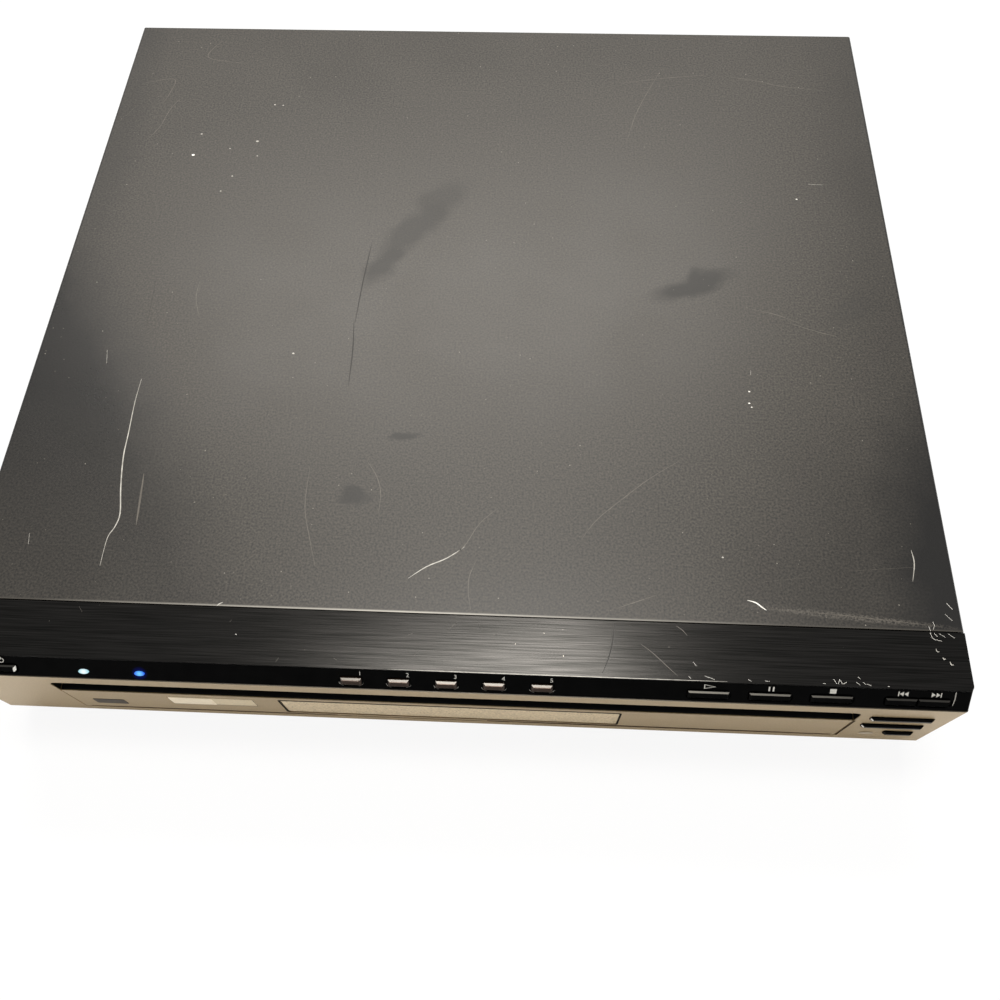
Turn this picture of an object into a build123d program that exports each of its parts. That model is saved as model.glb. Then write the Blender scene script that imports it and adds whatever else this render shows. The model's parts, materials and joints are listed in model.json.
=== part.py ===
from build123d import *
import os
from math import acos, atan2, cos, hypot, pi, radians, sin, tan

# Five-disc DVD changer with a carousel drawer. Millimetres, +Z up, the front looks along -Y.
# The origin lies on the floor below the middle of the whole box.

# Discs and carousel
DISC_DIAMETER = 120.0
DISC_COUNT = 5
DISC_ROOM = 0.5            # play of a disc in its seat
SEAT_WEB = 0.8             # narrowest wall between neighbouring seats
CAROUSEL_RIM = 1.39
SEAT_FLOOR = 3.0
SEAT_DEPTH = 2.5
SMALL_DISC_DIAMETER = 80.0
SMALL_SEAT_DEPTH = 0.8
SEAT_SLOT_WIDTH = 66.0     # slot in each seat through which the optical unit rises
HUB_RADIUS = 14.0
HUB_PIN_RADIUS = 8.0
CAP_RADIUS = 12.5
CAP_HEIGHT = 2.0
SUPPORT_ANGLES = (30, 150, 270)   # posts under the carousel

# Tray and drawer door
TRAY_WALL = 2.5
TRAY_FLOOR = 3.0
TRAY_SIDE_GAP = 1.5        # carousel rim to the tray's walls
TRAY_WALL_HEIGHT = 7.0
TRAY_TRAVEL = 215.0
TONGUE = 3.5               # how far the running tongues stand out of the tray
DECK_GAP = 6.5             # room for the table drive below the carousel
MOTOR_ROOM = 12.0          # room for the table motor below the tray
TRAY_SETBACK = 24.0        # tray front wall behind the face
BASE_SLOT_WIDTH = 104.0    # gap in the tray's rear for the optical unit
DOOR_LAP = 1.5
DOOR_HEIGHT = 27.7
DOOR_THICKNESS = 2.5
DOOR_RIM = 1.2
DOOR_GAP = 0.5
DOOR_LUG = 4.0             # lugs that join the door to the tray
DOOR_LUG_INSET = 8.0
RECESS_HEIGHT = 11.8       # black recess above the door plate
RECESS_DEPTH = 5.0
RECESS_WALL = 1.5
RECESS_LEDGE = 3.0
RECESS_CORNER = 3.0        # rounding of its upper ends
WINDOW_WIDTH = 153.0
WINDOW_X = -1.4            # middle of the window, left of the door's middle
WINDOW_HEIGHT = 21.4
WINDOW_RISE = 3.0          # door's lower edge to the window
WINDOW_GAP = 0.7
WINDOW_INSET = 0.25
WINDOW_FLANGE = 1.5
WINDOW_CORNER = 1.2
WINDOW_SHEET = 1.2         # flange behind the door
DISPLAY_DEPTH = 9.2        # face to the display board
DISPLAY_MARGIN = 8.0
DISPLAY_BOSS = 4.0
DISPLAY_SIDE = 6.0         # window's end to the display glass
DISPLAY_EDGE = 2.0

# Front panel
WALL = 2.5
SIDE_PANEL = 40.5          # door's end to the side of the case
FRONT_DEPTH = 31.0
UNDERCUT = 8.6
UNDERCUT_RUN = 7.0
SILL = 5.4
BROW = 8.9                 # face between the drawer and the key band
BAND_HEIGHT = 7.4
BAND_RUN = 6.4
BAND_GAP = 0.5             # shadow line between the key band and the face
TRIM_SHEET = 1.2
TRIM_RISE = 0.6
COVER_STEP = 1.0           # trim's front edge below the cover's top
CORNER = 1.2
COLLAR = 1.5
COLLAR_DEPTH = 5.0

# Case
FOOT_HEIGHT = 10.0
FOOT_RADIUS = 17.0
FOOT_INSET = 50.0
FOOT_BEVEL = 2.0
FOOT_DRAFT = 1.0
FOOT_HOLLOW = 1.0
FOOT_HOLLOW_RADIUS = 10.0
REAR_BAY = 45.0            # carousel rim to the cover's rear edge
JACK_REACH = 7.5
COVER_SHEET = 0.8
COVER_BEND = 1.6
COVER_LIP = 12.0
CHASSIS_SHEET = 1.0
SHADOW_GAP = 0.4
FLANGE_HEIGHT = 11.0
SCREW_RADIUS = 1.5
SCREW_HEAD = 3.2
SCREW_HEAD_HEIGHT = 1.6
SCREW_LENGTH = 6.0
SCREW_ROOM = 0.1
VENT_LENGTH = 34.0
VENT_WIDTH = 3.0
VENT_PITCH = 8.0
VENT_COUNT = 6

# Keys
KEY_GAP = 0.25
KEY_TALL = 3.4
KEY_PROUD = 1.4
KEY_BEVEL = 0.9
KEY_LIP = 0.6
KEY_FLANGE = 1.2
KEY_SLACK = 0.15
KEY_STEM = 1.1
KEY_STEM_LENGTH = 2.0
KEY_TRAVEL = 0.7
KEY_PLACE = 5.7            # down the band from its upper edge
KEY_DISH = 0.8             # shallow dish in the band past each end of a key
KEY_DISH_EDGE = 0.5
KEY_DISH_DEPTH = 0.5
SWITCH_SIZE = 4.4
SWITCH_HEIGHT = 3.0
SWITCH_ROOM = 0.2
BOARD_SHEET = 1.6
KEY_BOARD_TALL = 11.0
KEY_BOARD_SHIFT = 2.5      # board's middle above the row of keys
KEY_BOARD_END = 4.0
BOARD_POST = 1.8
BOARD_POST_STEP = 14.0     # middle of a key to the post beside it
SIDE_BOARD_ABOVE = 8.0
SIDE_BOARD_BELOW = 6.0
DISC_KEY_WIDTH = 8.8
DISC_KEYS_X = -0.7          # middle of the five
DISC_KEY_PITCH = 20.0
PLAY_KEY_WIDTH = 17.0
PLAY_KEY_PITCH = 25.2
STOP_KEY_X = 158.4          # last of the three
SKIP_KEY_WIDTH = 12.8
SKIP_KEY_GAP = 0.4
SKIP_KEYS_X = 193.2
POWER_KEY_WIDTH = 16.0
POWER_KEY_X = -191.6
LENS_XS = (-154.75, -130.75)
LENS_WIDTH = 4.4
LENS_TALL = 2.2
LENS_PLACE = 6.0           # down the band from its upper edge
LENS_PROUD = 0.3
FACE_KEY_WIDTH = 26.2
SHORT_KEY_WIDTH = 12.5
FACE_KEY_PITCH = 12.0
FACE_KEY_DROP = 14.4       # top of the face to the first of its keys
FACE_KEY_OFFSET = 18.6     # door's end to the middle of the face keys
SENSOR_WIDTH = 6.0
SENSOR_TALL = 3.6
SENSOR_INSET = 7.0         # left end of the face keys to the sensor
SENSOR_DROP = 3.3

# Gears and belts
PRESSURE = radians(20.0)
ADDENDUM = 0.85
DEDENDUM = 1.2
BACKLASH = 0.35
DRIVE_MODULE = 2.0
RING_TEETH = 60
PINION_TEETH = 18
RING_WALL = 5.0
RING_HEIGHT = 3.3
RACK_HEIGHT = 5.5
RACK_BACK = 6.0
RACK_SPARE = 8.0
RACK_INSET = 18.0          # tray's side to the rack's pitch line
SLED_MODULE = 0.8
SLED_TEETH = 18
BELT = 1.2
BELT_PLAY = 0.1
PULLEY_FLANGE = 1.6
PULLEY_HEIGHT = 2.6
MOTOR_RADIUS = 12.2
MOTOR_HEIGHT = 11.4
MOTOR_SHAFT = 1.0
MOTOR_BEVEL = 1.0
MOTOR_PULLEY_RADIUS = 3.6
TABLE_PULLEY_RADIUS = 14.0
LOADING_PULLEY_RADIUS = 22.0
TABLE_MOTOR_REACH = 78.0   # table gear to its motor
LOADING_MOTOR_REACH = 72.0
LOADING_SETBACK = 28.0     # seam to the loading gear
DRIVE_HEADING = radians(-45.0)
BEARING = 0.06             # play of a shaft in its bore
SHAFT_RADIUS = 3.0
RUN_GAP = 0.3              # gap between pieces that move past each other

# Mechanism
FRAME_FLOOR = 2.5
GUIDE_WALL = 4.2
GUIDE_LIP = 2.0
GUIDE_SETBACK = 32.0       # the guides end this far ahead of the spindle
POST_REACH = 8.0
POST_DEPTH = 26.0
FRAME_MARGIN = 4.0
FRAME_HOLE_INSET = 12.0
TOWER_WIDTH = 7.4
TOWER_HALF = 6.0
BRIDGE_SHEET = 1.2
BRIDGE_FLANGE = 5.0
BRIDGE_WIDTH = 90.0
BRIDGE_MARGIN = 10.0
CLAMP_RADIUS = 15.0
CLAMP_NECK = 11.0
CLAMP_FLANGE = 2.0
CLAMP_DISC = 3.0
CLAMP_CONE = 1.0
CLAMP_PLAY = 1.5
BASE_TILT = 7.0            # the optical unit drops by this angle to let the carousel turn
BASE_SHEET = 2.5
BASE_FRONT = 20.0          # base frame ahead of the spindle
PIVOT_BACK = 91.0          # pivot behind the spindle
PIVOT_DROP = 6.5           # pivot below the base frame's top
PIVOT_RADIUS = 2.5
DISC_LIFT = 3.0
BASE_DROP = 15.0           # base frame's top below the lifted disc
TURNTABLE_RADIUS = 15.0
TURNTABLE_SHEET = 3.0
TURNTABLE_HUB = 7.4
TURNTABLE_HUB_HEIGHT = 2.8
TURNTABLE_CONE = 1.5
TURNTABLE_BORE = 2.2       # depth of the bore for the motor's shaft
SPINDLE_MOTOR_HEIGHT = 10.0
PICKUP_HALF = 20.0
PICKUP_LENGTH = 24.0
PICKUP_HEIGHT = 8.5
PICKUP_RISE = 2.0          # pickup above the base frame
PICKUP_BEVEL = 2.5
PICKUP_LENS = 4.0
PICKUP_LENS_PLACE = 9.0
PICKUP_LENS_GAP = 1.7      # lens to the disc
PICKUP_LUG_INSET = 3.0
PICKUP_LUG_DROP = 2.5
PICKUP_HOME = 17.0         # spindle to the pickup's near end
PICKUP_TRAVEL = 34.0
ROD_X = 24.0
ROD_RADIUS = 1.5
ROD_RISE = 4.5
ROD_END = 3.0
ROD_EAR = 2.6
PIVOT_MARGIN = 2.0
RIB_DEPTH = 4.5            # base frame's side ribs at its front end
SLED_MOTOR_RADIUS = 7.0
SLED_MOTOR_HEIGHT = 8.0
SLED_MOTOR_ROOM = 0.7      # sled motor to the base frame's side rib
SLED_RACK_OFFSET = 6.6     # rod to the rack's pitch line
SLED_RACK_BACK = 2.4
SLED_RACK_SPARE = 4.0
SLED_LEAD = 5.0            # pickup's far end to the sled gear
SLED_RISE = 1.0
SLED_HEIGHT = 3.5
LIFT_ARM = 80.0
LIFT_PIN = 1.5
LIFT_PIN_RISE = 2.0        # pin above the pivot when the unit is level
LIFT_STROKE = 24.0
SLIDER_SHEET = 2.5
SLIDER_OFFSET = 6.0        # base frame's side to the slider
SLIDER_MARGIN = 7.0
SLIDER_RIB = 2.0
SLIDER_RIB_HEIGHT = 4.5

# Electronics and sockets
STANDOFF = 7.0
STANDOFF_RADIUS = 3.0
STANDOFF_INSET = 6.0
BOARD_FROM_BASE = 22.0     # base frame's side to a board
BOARD_FROM_SIDE = 8.0
BOARD_FROM_GUIDE = 6.0
BOARD_FROM_PANEL = 3.0
# Chips on the main board as offset from its corner, size and height
CHIPS = ((20, 30, 26, 26, 2.5), (58, 24, 18, 18, 2.0), (62, 60, 22, 10, 3.0), (96, 34, 14, 20, 8.0),
         (22, 74, 30, 8, 6.0))
# Capacitors on the power board as offset from its corner and radius
CAPACITORS = ((16, 24, 7.0), (34, 24, 6.0), (18, 46, 5.0), (36, 48, 5.0))
CAPACITOR_HEIGHT = 13.0
HEAT_SINK_PLACE = (60, 20)
HEAT_SINK_SIZE = (2, 44)
CORE_PLACE = (2, 30)       # transformer's core from the power board's outer corner
CORE_SIZE = (26, 36, 26)
WINDING_PROUD = 3.0
WINDING_INSET = 8.0
WINDING_GAP = 5.0
JACK_RADIUS = 4.15
JACK_NECK = 3.8            # behind the barrel, in the panel's hole
JACK_STAND = 0.5           # panel to the barrel
JACK_BODY = 5.2
JACK_BODY_LENGTH = 11.0
JACK_HOLE = 1.65
JACK_PITCH = 15.0
JACK_COLUMNS = 6
JACK_X = 102.0
JACK_Z = 27.0
COAX_X = 80.0
OPTICAL_SIZE = 10.0
OPTICAL_WALL = 1.0
OPTICAL_DEPTH = 12.0
SHUTTER_INSET = 1.5
INLET_X = -186.0
INLET_WIDTH = 22.0
INLET_TALL = 14.0
INLET_DEPTH = 16.0
INLET_LOBE = 4.2
INLET_PIN = 1.2
INLET_RISE = 3.0
INLET_COLLAR = 2.0
INLET_PROUD = 0.6
INLET_BACK = 3.0
RIBBON_WIDTH = 14.0
RIBBON_SHEET = 0.4
RIBBON_BEND = 2.0
RIBBON_LAND = 12.0         # ribbon over the board and up behind the front
RIBBON_STEP = 4.0

# Places worked out from the sizes above
SEAT_RADIUS = DISC_DIAMETER / 2 + DISC_ROOM
SEAT_CIRCLE = (SEAT_RADIUS + SEAT_WEB / 2) / sin(pi / DISC_COUNT)
CAROUSEL_RADIUS = SEAT_CIRCLE + SEAT_RADIUS + CAROUSEL_RIM
TRAY_HALF = CAROUSEL_RADIUS + TRAY_SIDE_GAP + TRAY_WALL
TONGUE_HALF = TRAY_HALF + TONGUE
DOOR_HALF = TONGUE_HALF + DOOR_LAP
HALF_WIDTH = DOOR_HALF + SIDE_PANEL
CAROUSEL_BACK = TRAY_SETBACK + TRAY_WALL + TRAY_SIDE_GAP + CAROUSEL_RADIUS
BODY_DEPTH = CAROUSEL_BACK + CAROUSEL_RADIUS + REAR_BAY
Y_FRONT = -(BODY_DEPTH + JACK_REACH - KEY_PROUD) / 2
Y_SEAM = Y_FRONT + FRONT_DEPTH
Y_TRAY = Y_FRONT + TRAY_SETBACK
Y_CAROUSEL = Y_FRONT + CAROUSEL_BACK
Y_TRAY_END = Y_CAROUSEL + CAROUSEL_RADIUS + TRAY_SIDE_GAP
Y_SPINDLE = Y_CAROUSEL + SEAT_CIRCLE
Y_PIVOT = Y_SPINDLE + PIVOT_BACK
Y_BACK = Y_FRONT + BODY_DEPTH
Y_PANEL_OUT = Y_BACK - COVER_SHEET
Y_PANEL = Y_PANEL_OUT - CHASSIS_SHEET
Z_PAN = FOOT_HEIGHT
Z_PAN_TOP = Z_PAN + CHASSIS_SHEET
Z_FACE = Z_PAN + UNDERCUT
Z_DOOR = Z_FACE + SILL
Z_DOOR_RIM = Z_DOOR + DOOR_HEIGHT
Z_DOOR_TOP = Z_DOOR_RIM + RECESS_HEIGHT
Z_BAND = Z_DOOR_TOP + BROW
Z_LEDGE = Z_BAND + BAND_HEIGHT
HEIGHT = Z_LEDGE + TRIM_SHEET + COVER_STEP
Z_TRAY = Z_DOOR + MOTOR_ROOM
Z_TRAY_TOP = Z_TRAY + TRAY_FLOOR
Z_DECK = Z_TRAY_TOP + DECK_GAP
Z_SEAT = Z_DECK + SEAT_FLOOR
Z_CAROUSEL = Z_SEAT + SEAT_DEPTH
Z_DISC = Z_SEAT + DISC_LIFT
Z_BASE = Z_DISC - BASE_DROP
Z_PIVOT = Z_BASE - PIVOT_DROP
Z_BRIDGE = Z_DOOR_TOP + DOOR_GAP
PAN_HALF = HALF_WIDTH - COVER_SHEET - RUN_GAP
BAND_LENGTH = hypot(BAND_RUN, BAND_HEIGHT)
SLED_RADIUS = SLED_MODULE * SLED_TEETH / 2
SLED_RACK_X = ROD_X + SLED_RACK_OFFSET
SLED_X = SLED_RACK_X + SLED_RADIUS
BASE_HALF = SLED_X + SLED_MOTOR_RADIUS + SLED_MOTOR_ROOM + BASE_SHEET
OPEN_REACH = 20.0          # how far a cut runs past an open side
OVERCUT = 1.0              # how far a cut runs past a face


# Basic shapes
def block(x, y, z):
    size = (x[1] - x[0], y[1] - y[0], z[1] - z[0])
    middle = ((x[0] + x[1]) / 2, (y[0] + y[1]) / 2, (z[0] + z[1]) / 2)
    return Pos(*middle) * Box(*size)


def upright(at, z, radius):
    return Pos(at[0], at[1], (z[0] + z[1]) / 2) * Cylinder(radius, z[1] - z[0])


def along_x(y, z, x, radius):
    return Pos((x[0] + x[1]) / 2, y, z) * Rot(0, 90, 0) * Cylinder(radius, x[1] - x[0])


def along_y(x, z, y, radius):
    return Pos(x, (y[0] + y[1]) / 2, z) * Rot(90, 0, 0) * Cylinder(radius, y[1] - y[0])


# A span lengthened at both ends, for cuts that go right through
def past(span):
    return (span[0] - OVERCUT, span[1] + OVERCUT)


def side_section(sketch, x):
    return extrude(Plane.YZ.offset(x[0]) * sketch, amount=x[1] - x[0], dir=(1, 0, 0))


def raised(sketch, z):
    return extrude(Pos(0, 0, z[0]) * sketch, amount=z[1] - z[0], dir=(0, 0, 1))


def both_sides(shape):
    return shape + mirror(shape, about=Plane.YZ)


def turned(points):
    return revolve(Plane.XZ * Polygon(*points), Axis.Z)


# Two circles and what lies between their outer tangents
def stadium(first, second, first_radius, second_radius):
    heading = atan2(second[1] - first[1], second[0] - first[0])
    span = hypot(second[0] - first[0], second[1] - first[1])
    spread = acos((first_radius - second_radius) / span)
    corners = []
    for centre, radius, sides in ((first, first_radius, (1, -1)), (second, second_radius, (-1, 1))):
        for side in sides:
            angle = heading + side * spread
            corners.append((centre[0] + radius * cos(angle), centre[1] + radius * sin(angle)))
    ends = Pos(*first) * Circle(first_radius) + Pos(*second) * Circle(second_radius)
    return ends + Polygon(*corners)


# Gears
def involute(angle):
    return tan(angle) - angle


def gear_sketch(teeth, module, tooth_at):
    pitch = module * teeth / 2
    base = pitch * cos(PRESSURE)
    tip = pitch + ADDENDUM * module
    root = pitch - DEDENDUM * module
    half = (pi * module / 2 - BACKLASH * module / 2) / (2 * pitch) + involute(PRESSURE)
    start = max(base, root)
    flank = [(radius, half - involute(acos(base / radius))) for radius in (start, (start + tip) / 2, tip)]
    if root < base:
        flank.insert(0, (root, half))
    points = []
    for tooth in range(teeth):
        middle = tooth_at + 2 * pi * tooth / teeth
        rising = [(radius, middle - lean) for radius, lean in flank]
        falling = [(radius, middle + lean) for radius, lean in reversed(flank)]
        points += [(radius * cos(angle), radius * sin(angle)) for radius, angle in rising + falling]
    return Polygon(*points)


# Rack along Y with its teeth towards +X, one tooth at y = 0, pitch line at x = 0
def rack_sketch(module, back, low, high):
    pitch = pi * module
    tip = ADDENDUM * module
    root = DEDENDUM * module
    half = (pitch / 2 - BACKLASH * module / 2) / 2
    lean = tan(PRESSURE)
    body = Pos(-root - back / 2, (low + high) / 2) * Rectangle(back, high - low)
    for tooth in range(round(low / pitch) + 1, round(high / pitch)):
        foot = half + root * lean
        top = half - tip * lean
        shape = Polygon((-root, -foot), (tip, -top), (tip, top), (-root, foot))
        body += Pos(0, tooth * pitch) * shape
    return body


# A pulley with a flat groove for the belt, standing on z = 0
def pulley(radius, bore):
    flange = radius + PULLEY_FLANGE
    sheet = (PULLEY_HEIGHT - BELT - 2 * BELT_PLAY) / 2
    rings = raised(Circle(flange), (0, PULLEY_HEIGHT))
    slot = raised(Circle(flange + OVERCUT) - Circle(radius), (sheet, PULLEY_HEIGHT - sheet))
    return rings - slot - raised(Circle(bore), past((0, PULLEY_HEIGHT)))


def belt(first, second, first_radius, second_radius, z):
    inner = stadium(first, second, first_radius + BELT_PLAY, second_radius + BELT_PLAY)
    outer = stadium(first, second, first_radius + BELT_PLAY + BELT, second_radius + BELT_PLAY + BELT)
    middle = z + PULLEY_HEIGHT / 2
    return raised(outer - inner, (middle - BELT / 2, middle + BELT / 2))


def motor(at, z, radius, height, shaft_top):
    can = upright(at, (z, z + height), radius)
    can = chamfer(can.edges().filter_by(GeomType.CIRCLE), MOTOR_BEVEL)
    return can + upright(at, (z + height / 2, shaft_top), MOTOR_SHAFT)


# Case
FOOT_PLACES = [(side * (HALF_WIDTH - FOOT_INSET), y)
               for side in (-1, 1) for y in (Y_FRONT + FOOT_INSET, Y_BACK - FOOT_INSET)]
SIDE_SCREW_Z = Z_PAN_TOP + FLANGE_HEIGHT / 2
SIDE_SCREW_YS = (Y_SEAM + FOOT_INSET, Y_BACK - FOOT_INSET)
LIP_SCREW_XS = (-HALF_WIDTH + FOOT_INSET, 0, HALF_WIDTH - FOOT_INSET)
LIP_SCREW_Z = HEIGHT - COVER_LIP / 2
Z_BOARD = Z_PAN_TOP + STANDOFF
Z_BOARD_TOP = Z_BOARD + BOARD_SHEET
GUIDE_END = Y_SPINDLE - GUIDE_SETBACK
BOARD_X = (BASE_HALF + BOARD_FROM_BASE, PAN_HALF - BOARD_FROM_SIDE)
BOARD_Y = (GUIDE_END + BOARD_FROM_GUIDE, Y_PANEL - BOARD_FROM_PANEL)
BOARD_POSTS = [(x, y) for x in (BOARD_X[0] + STANDOFF_INSET, BOARD_X[1] - STANDOFF_INSET)
               for y in (BOARD_Y[0] + STANDOFF_INSET, BOARD_Y[1] - STANDOFF_INSET)]


def side_screw(y, room=0.0):
    cone = Cone(SCREW_RADIUS + room, SCREW_HEAD + room, SCREW_HEAD_HEIGHT)
    head = Pos(0, 0, -SCREW_HEAD_HEIGHT / 2) * cone
    shank = Pos(0, 0, -SCREW_LENGTH / 2) * Cylinder(SCREW_RADIUS + room, SCREW_LENGTH)
    return Plane((HALF_WIDTH, y, SIDE_SCREW_Z), x_dir=(0, 1, 0), z_dir=(1, 0, 0)) * (head + shank)


def side_screws(room=0.0):
    return both_sides(side_screw(SIDE_SCREW_YS[0], room) + side_screw(SIDE_SCREW_YS[1], room))


def lip_holes(radius):
    holes = Part()
    for x in LIP_SCREW_XS:
        holes += along_y(x, LIP_SCREW_Z, past((Y_PANEL, Y_BACK)), radius)
    return holes


def vents(middle, plane):
    slots = [Pos(0, (row - (VENT_COUNT - 1) / 2) * VENT_PITCH) * Rectangle(VENT_LENGTH, VENT_WIDTH)
             for row in range(VENT_COUNT)]
    place = Plane(middle, x_dir=plane.x_dir, z_dir=plane.z_dir)
    return extrude(place * (Sketch() + slots), amount=CHASSIS_SHEET + OVERCUT, both=True)


def chassis_pan():
    pan = block((-PAN_HALF, PAN_HALF), (Y_SEAM, Y_PANEL), (Z_PAN, Z_PAN_TOP))
    top = Z_PAN_TOP + FLANGE_HEIGHT
    pan += block((-PAN_HALF, PAN_HALF), (Y_SEAM, Y_SEAM + CHASSIS_SHEET), (Z_PAN, top))
    pan += both_sides(block((PAN_HALF - CHASSIS_SHEET, PAN_HALF), (Y_SEAM, Y_PANEL), (Z_PAN, top)))
    for x, y in BOARD_POSTS:
        pan += both_sides(upright((x, y), (Z_PAN, Z_BOARD), STANDOFF_RADIUS))
    vent_middle = (BOARD_X[0] + 2 * STANDOFF_RADIUS + VENT_LENGTH, (BOARD_Y[0] + BOARD_Y[1]) / 2, Z_PAN)
    return pan - both_sides(vents(vent_middle, Plane.XY)) - side_screws(SCREW_ROOM)


def top_cover():
    low = Z_PAN + RUN_GAP
    outer = block((-HALF_WIDTH, HALF_WIDTH), (Y_SEAM + SHADOW_GAP, Y_BACK), (low, HEIGHT))
    inner_half = HALF_WIDTH - COVER_SHEET
    inner = block((-inner_half, inner_half), past((Y_SEAM, Y_BACK)), (low - OVERCUT, HEIGHT - COVER_SHEET))
    outer = fillet(outer.edges().filter_by(Axis.Y).group_by(Axis.Z)[-1], COVER_BEND)
    inner = fillet(inner.edges().filter_by(Axis.Y).group_by(Axis.Z)[-1], COVER_BEND - COVER_SHEET)
    lip_half = HALF_WIDTH - 2 * COVER_BEND
    lip_z = (HEIGHT - COVER_LIP, HEIGHT - COVER_SHEET / 2)
    lip = block((-lip_half, lip_half), (Y_PANEL_OUT, Y_BACK), lip_z)
    cover = outer - inner + lip
    return cover - side_screws(SCREW_ROOM) - lip_holes(SCREW_RADIUS + SCREW_ROOM)


def jack_places():
    grid = [(JACK_X + column * JACK_PITCH, JACK_Z + row * JACK_PITCH)
            for row in range(2) for column in range(JACK_COLUMNS)]
    return grid + [(COAX_X, JACK_Z)]


INLET_Z = Z_BOARD_TOP + INLET_TALL / 2 + INLET_RISE
OPTICAL_Z = JACK_Z + JACK_PITCH


def rear_panel():
    top = HEIGHT - COVER_SHEET - RUN_GAP
    panel = block((-PAN_HALF, PAN_HALF), (Y_PANEL, Y_PANEL_OUT), (Z_PAN, top))
    through = past((Y_PANEL, Y_PANEL_OUT))
    for x, z in jack_places():
        panel -= along_y(x, z, through, JACK_RADIUS + SCREW_ROOM)
    half = INLET_WIDTH / 2 + RUN_GAP
    tall = INLET_TALL / 2 + RUN_GAP
    panel -= block((INLET_X - half, INLET_X + half), through, (INLET_Z - tall, INLET_Z + tall))
    side = OPTICAL_SIZE / 2 + RUN_GAP
    panel -= block((COAX_X - side, COAX_X + side), through, (OPTICAL_Z - side, OPTICAL_Z + side))
    vent_middle = (INLET_X + HALF_WIDTH / 3, Y_PANEL, (Z_PAN + HEIGHT - COVER_LIP) / 2)
    return panel - vents(vent_middle, Plane.XZ) - lip_holes(SCREW_RADIUS + SCREW_ROOM)


def feet():
    edge = FOOT_RADIUS - FOOT_DRAFT
    foot = turned([(0, FOOT_HOLLOW), (FOOT_HOLLOW_RADIUS, FOOT_HOLLOW), (FOOT_HOLLOW_RADIUS, 0),
                   (edge - FOOT_BEVEL, 0), (edge, FOOT_BEVEL), (FOOT_RADIUS, FOOT_HEIGHT),
                   (0, FOOT_HEIGHT)])
    return Compound([Pos(x, y) * foot for x, y in FOOT_PLACES])


def case_screws():
    screws = list(side_screws().solids())
    for x in LIP_SCREW_XS:
        shank = along_y(x, LIP_SCREW_Z, (Y_BACK - SCREW_LENGTH, Y_BACK), SCREW_RADIUS)
        head = along_y(x, LIP_SCREW_Z, (Y_BACK, Y_BACK + SCREW_HEAD_HEIGHT), SCREW_HEAD)
        screws.append(shank + chamfer(head.edges().sort_by(Axis.Y)[-1], SCREW_HEAD_HEIGHT / 2))
    return Compound(screws)


# Front panel
def band_plane(x, down):
    slope = (BAND_RUN / BAND_LENGTH, BAND_HEIGHT / BAND_LENGTH)
    origin = (x, Y_FRONT + BAND_RUN - slope[0] * down, Z_LEDGE - slope[1] * down)
    return Plane(origin, x_dir=(1, 0, 0), z_dir=(0, -slope[1], slope[0]))


def face_plane(x, z):
    return Plane((x, Y_FRONT, z), x_dir=(1, 0, 0), z_dir=(0, -1, 0))


# Keys as name: plane, width
FACE_KEY_X = DOOR_HALF + FACE_KEY_OFFSET
FACE_KEY_Z = Z_BAND - FACE_KEY_DROP
SHORT_KEY_X = FACE_KEY_X + (FACE_KEY_WIDTH - SHORT_KEY_WIDTH) / 2
SENSOR_X = FACE_KEY_X - FACE_KEY_WIDTH / 2 + SENSOR_INSET
SENSOR_Z = FACE_KEY_Z - 2 * FACE_KEY_PITCH - SENSOR_DROP
BAND_KEYS = {}
for number in range(DISC_COUNT):
    place = DISC_KEYS_X + (number - (DISC_COUNT - 1) / 2) * DISC_KEY_PITCH
    BAND_KEYS[f"disc_key_{number + 1}"] = (place, DISC_KEY_WIDTH)
for steps, name in ((-2, "play_key"), (-1, "pause_key"), (0, "stop_key")):
    BAND_KEYS[name] = (STOP_KEY_X + steps * PLAY_KEY_PITCH, PLAY_KEY_WIDTH)
SKIP_STEP = (SKIP_KEY_WIDTH + SKIP_KEY_GAP) / 2
BAND_KEYS["previous_key"] = (SKIP_KEYS_X - SKIP_STEP, SKIP_KEY_WIDTH)
BAND_KEYS["next_key"] = (SKIP_KEYS_X + SKIP_STEP, SKIP_KEY_WIDTH)
BAND_KEYS["power_key"] = (POWER_KEY_X, POWER_KEY_WIDTH)
KEYS = {name: (band_plane(x, KEY_PLACE), width) for name, (x, width) in BAND_KEYS.items()}
KEYS["open_close_key"] = (face_plane(FACE_KEY_X, FACE_KEY_Z), FACE_KEY_WIDTH)
KEYS["disc_skip_key"] = (face_plane(FACE_KEY_X, FACE_KEY_Z - FACE_KEY_PITCH), FACE_KEY_WIDTH)
KEYS["exchange_key"] = (face_plane(SHORT_KEY_X, FACE_KEY_Z - 2 * FACE_KEY_PITCH), SHORT_KEY_WIDTH)
SIDE_BOARD_X = (FACE_KEY_X - FACE_KEY_WIDTH / 2 + BOARD_POST, FACE_KEY_X + FACE_KEY_WIDTH / 2)
SIDE_BOARD_Z = (SENSOR_Z - SIDE_BOARD_BELOW, FACE_KEY_Z + SIDE_BOARD_ABOVE)
SIDE_POSTS_Z = (SIDE_BOARD_Z[0] + BOARD_POST, SIDE_BOARD_Z[1] - BOARD_POST)
DISC_KEYS_END = (DISC_COUNT - 1) / 2 * DISC_KEY_PITCH + 2 * BOARD_POST_STEP
BAND_POSTS_X = (POWER_KEY_X + BOARD_POST_STEP, -DISC_KEYS_END, DISC_KEYS_END,
                STOP_KEY_X + BOARD_POST_STEP)
STEM_END = -(WALL + KEY_SLACK + KEY_FLANGE + KEY_STEM_LENGTH)
SWITCH_TOP = STEM_END - KEY_TRAVEL - SWITCH_ROOM
BOARD_FACE = SWITCH_TOP - SWITCH_HEIGHT


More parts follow.
